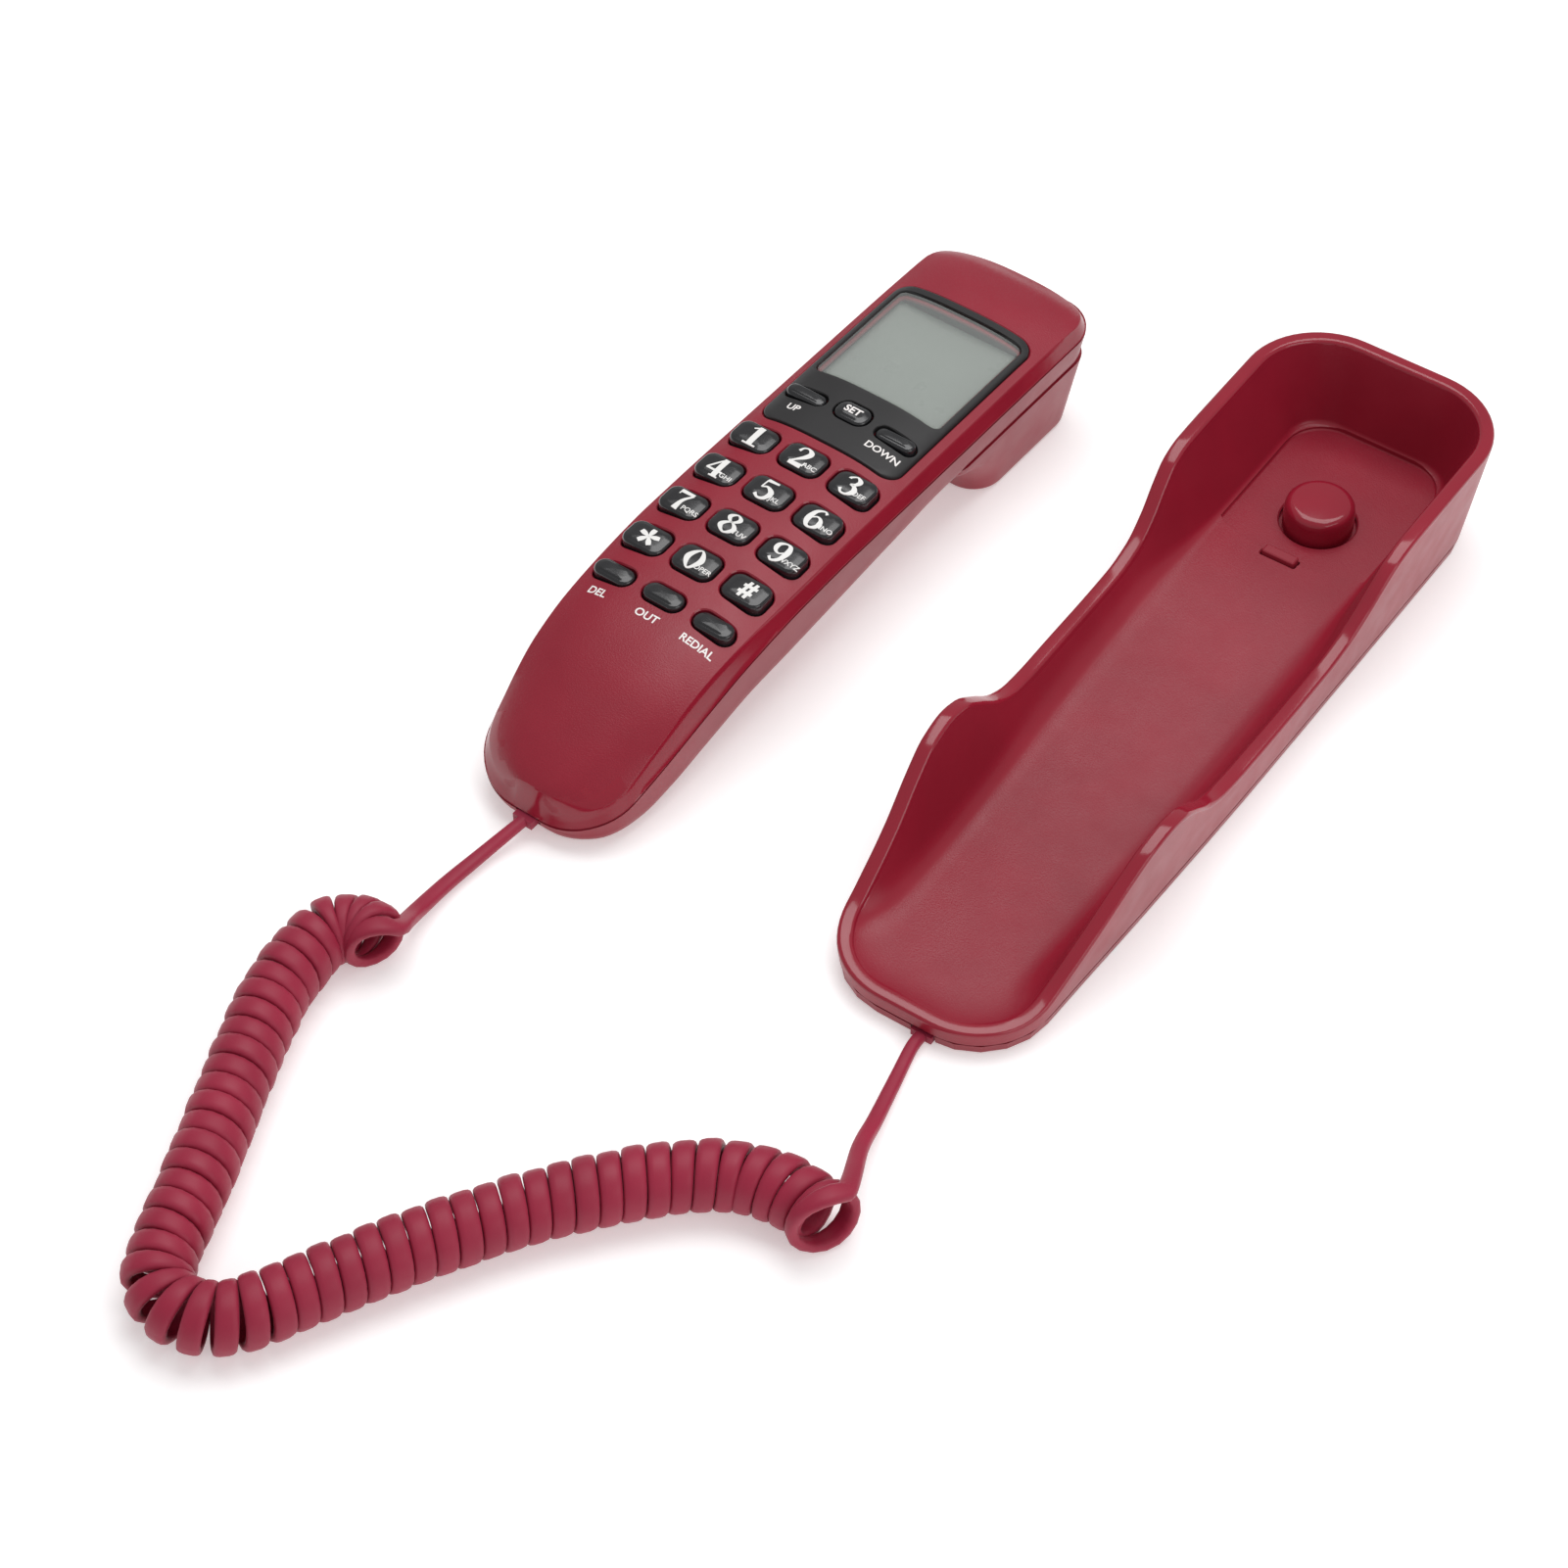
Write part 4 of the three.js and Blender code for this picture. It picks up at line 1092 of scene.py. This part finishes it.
def coil_line():
    """Points round the coil, the way across the ribbon at each, and its width there."""
    middle = catmull_rom([(x, y, 0) for x, y in COIL_ROUTE], 0.25)[:, :2]
    along, way = distances(middle), directions(middle)
    turn = np.gradient(np.unwrap(np.arctan2(way[:, 1], way[:, 0])), along)
    turn = np.convolve(np.pad(turn, 8, "edge"), np.ones(17) / 17, "valid")
    start, end = math.radians(COIL_START), math.radians(COIL_END)
    crowding = np.clip(1 + 20 * (np.abs(turn) - 0.105), 1, 2)
    crowded = (crowding[1:] + crowding[:-1]) / 2 * np.diff(along)
    counted = np.concatenate([[0], np.cumsum(crowded)]) / COIL_PITCH
    turns = round(counted[-1])
    total = 2 * math.pi * turns + end - start
    count = round(turns * TURN_STEPS)
    points, across, widths = [], [], []
    for i in range(count + 1):
        share = i / count
        angle = start + total * share
        first = max(0, 1 - i / (1.2 * TURN_STEPS))
        at = np.interp(share * counted[-1], counted, along)
        at += END_SHIFT * max(0, 1 - i / (0.45 * TURN_STEPS)) ** 2
        spot = np.array([np.interp(at, along, middle[:, k]) for k in (0, 1)])
        go = np.array([np.interp(at, along, way[:, k]) for k in (0, 1)])
        go /= np.linalg.norm(go)
        bend = np.interp(at, along, turn)
        uneven = 1 + 0.018 * math.sin(0.37 * angle) + 0.012 * math.sin(0.113 * angle + 1)
        radius = COIL_RADIUS * uneven + END_GROWTH * smoothstep(first, 0, 1)
        side = np.array([go[1], -go[0]])
        radial = np.array([*(side * math.cos(angle)), math.sin(angle)])
        height = radius + RIBBON_THICK / 2 + 0.15
        points.append(np.array([*spot, height]) + radius * radial)
        across.append(np.array([*go, 0]))
        room = (1 + bend * radius * math.cos(angle)) / np.interp(at, along, crowding)
        widths.append(RIBBON_WIDTH * min(1, max(room, LEAST_WIDTH)))
    return points, across, widths


def level_across(line):
    """The level direction across a lead at each point."""
    way = np.gradient(line, axis=0)
    level = np.stack([way[:, 1], -way[:, 0], np.zeros(len(way))], axis=1)
    return level / np.linalg.norm(level, axis=1)[:, None]


def make_cord():
    points, across, widths = coil_line()
    first = catmull_rom([*CRADLE_LEAD, points[0], points[2], points[4]], 1.6)
    first = first[: np.argmin(np.linalg.norm(first - points[0], axis=1))]
    last = catmull_rom([points[-5], points[-3], points[-1], *HANDSET_LEAD], 1.6)
    last = last[np.argmin(np.linalg.norm(last - points[-1], axis=1)) + 1 :]
    line = np.array([*first, *points, *last])
    wide = np.array([*level_across(first), *across, *level_across(last)])
    for i in range(1, len(wide)):
        if np.dot(wide[i], wide[i - 1]) < 0:
            wide[i:] *= -1

    def lead_width(count):
        return np.linspace(LEAD_ENTRY, LEAD_MEETING, count)

    width = np.array([*lead_width(len(first)), *widths, *lead_width(len(last))[::-1]])
    for _ in range(3):
        wide[1:-1] = (wide[:-2] + 2 * wide[1:-1] + wide[2:]) / 4
        width[1:-1] = (width[:-2] + 2 * width[1:-1] + width[2:]) / 4
    rings = []
    for p, t, w, size in zip(line, directions(line), wide, width):
        w = w - t * np.dot(w, t)
        w /= np.linalg.norm(w)
        n = np.cross(t, w)
        section = []
        for angle in np.linspace(0, 2 * math.pi, 14, endpoint=False):
            c, s = math.cos(angle), math.sin(angle)
            a = size / 2 * math.copysign(abs(c) ** 0.62, c)
            b = RIBBON_THICK / 2 * math.copysign(abs(s) ** 0.72, s)
            section.append(p + a * w + b * n)
        rings.append(section)
    cord = prism("cord", rings)
    smooth(paint(cord, "cord"), 75)
    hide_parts(*[n for n in nodes if n.startswith(("cord_curl", "cord_lead"))])
    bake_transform(cord)


make_cord()


# ---------------------------------------------------------------- pieces kept from the model

KEPT = {
    "cradle_back_plate": "wall", "hook_switch": "fitting",
    "cradle_board": "board", "ringer_disc": "brass", "line_socket": "fitting", "cradle_grommet": "cord",
    "cradle_screw_1": "steel", "cradle_screw_2": "steel", "cradle_screw_3": "steel",
    "cradle_screw_4": "steel",
    "display_glass": "display", "keypad_mat": "mat", "handset_board": "board", "earpiece_capsule": "fitting",
    "microphone_capsule": "fitting", "handset_grommet": "cord", "handset_screw_1": "steel",
    "handset_screw_2": "steel",
}


def dress_kept():
    for name, look in KEPT.items():
        node = nodes[name]
        paint(node, look)
        edge = node.modifiers.new("edges", "BEVEL")
        edge.width = (0.12 if look == "steel" else 0.3) * MM
        edge.segments = 3
        edge.limit_method = "ANGLE"
        edge.angle_limit = math.radians(40)
        edge.harden_normals = True


dress_kept()


# ---------------------------------------------------------------- floor and light


def make_light(name, place, target, size, power):
    data = bpy.data.lights.new(name, "AREA")
    data.shape = "RECTANGLE"
    data.size, data.size_y = size
    data.energy = power
    light = bpy.data.objects.new(name, data)
    scene.collection.objects.link(light)
    light.location = place
    aim = (Vector(target) - Vector(place)).normalized()
    light.rotation_mode = "QUATERNION"
    light.rotation_quaternion = aim.to_track_quat("-Z", "Y")


def make_stage():
    side = 6
    corners = [(-side, -side, 0), (side, -side, 0), (side, side, 0), (-side, side, 0)]
    mesh = bpy.data.meshes.new("floor")
    mesh.from_pydata(corners, [], [(0, 1, 2, 3)])
    floor = bpy.data.objects.new("floor", mesh)
    scene.collection.objects.link(floor)
    floor.location.z = -0.0002
    mesh.materials.append(LOOKS["floor"])
    make_light("softbox_top", (-0.1, 0.3, 1.15), (-0.05, -0.05, 0), (1.0, 0.9), 9)
    make_light("softbox_side", (0.9, -0.2, 0.6), (-0.05, -0.05, 0), (0.7, 0.5), 2)
    world = bpy.data.worlds.new("world")
    world.use_nodes = True
    background = world.node_tree.nodes["Background"]
    background.inputs["Color"].default_value = (1, 1, 1, 1)
    background.inputs["Strength"].default_value = 0.45
    scene.world = world
    scene.view_settings.view_transform = "Standard"


make_stage()
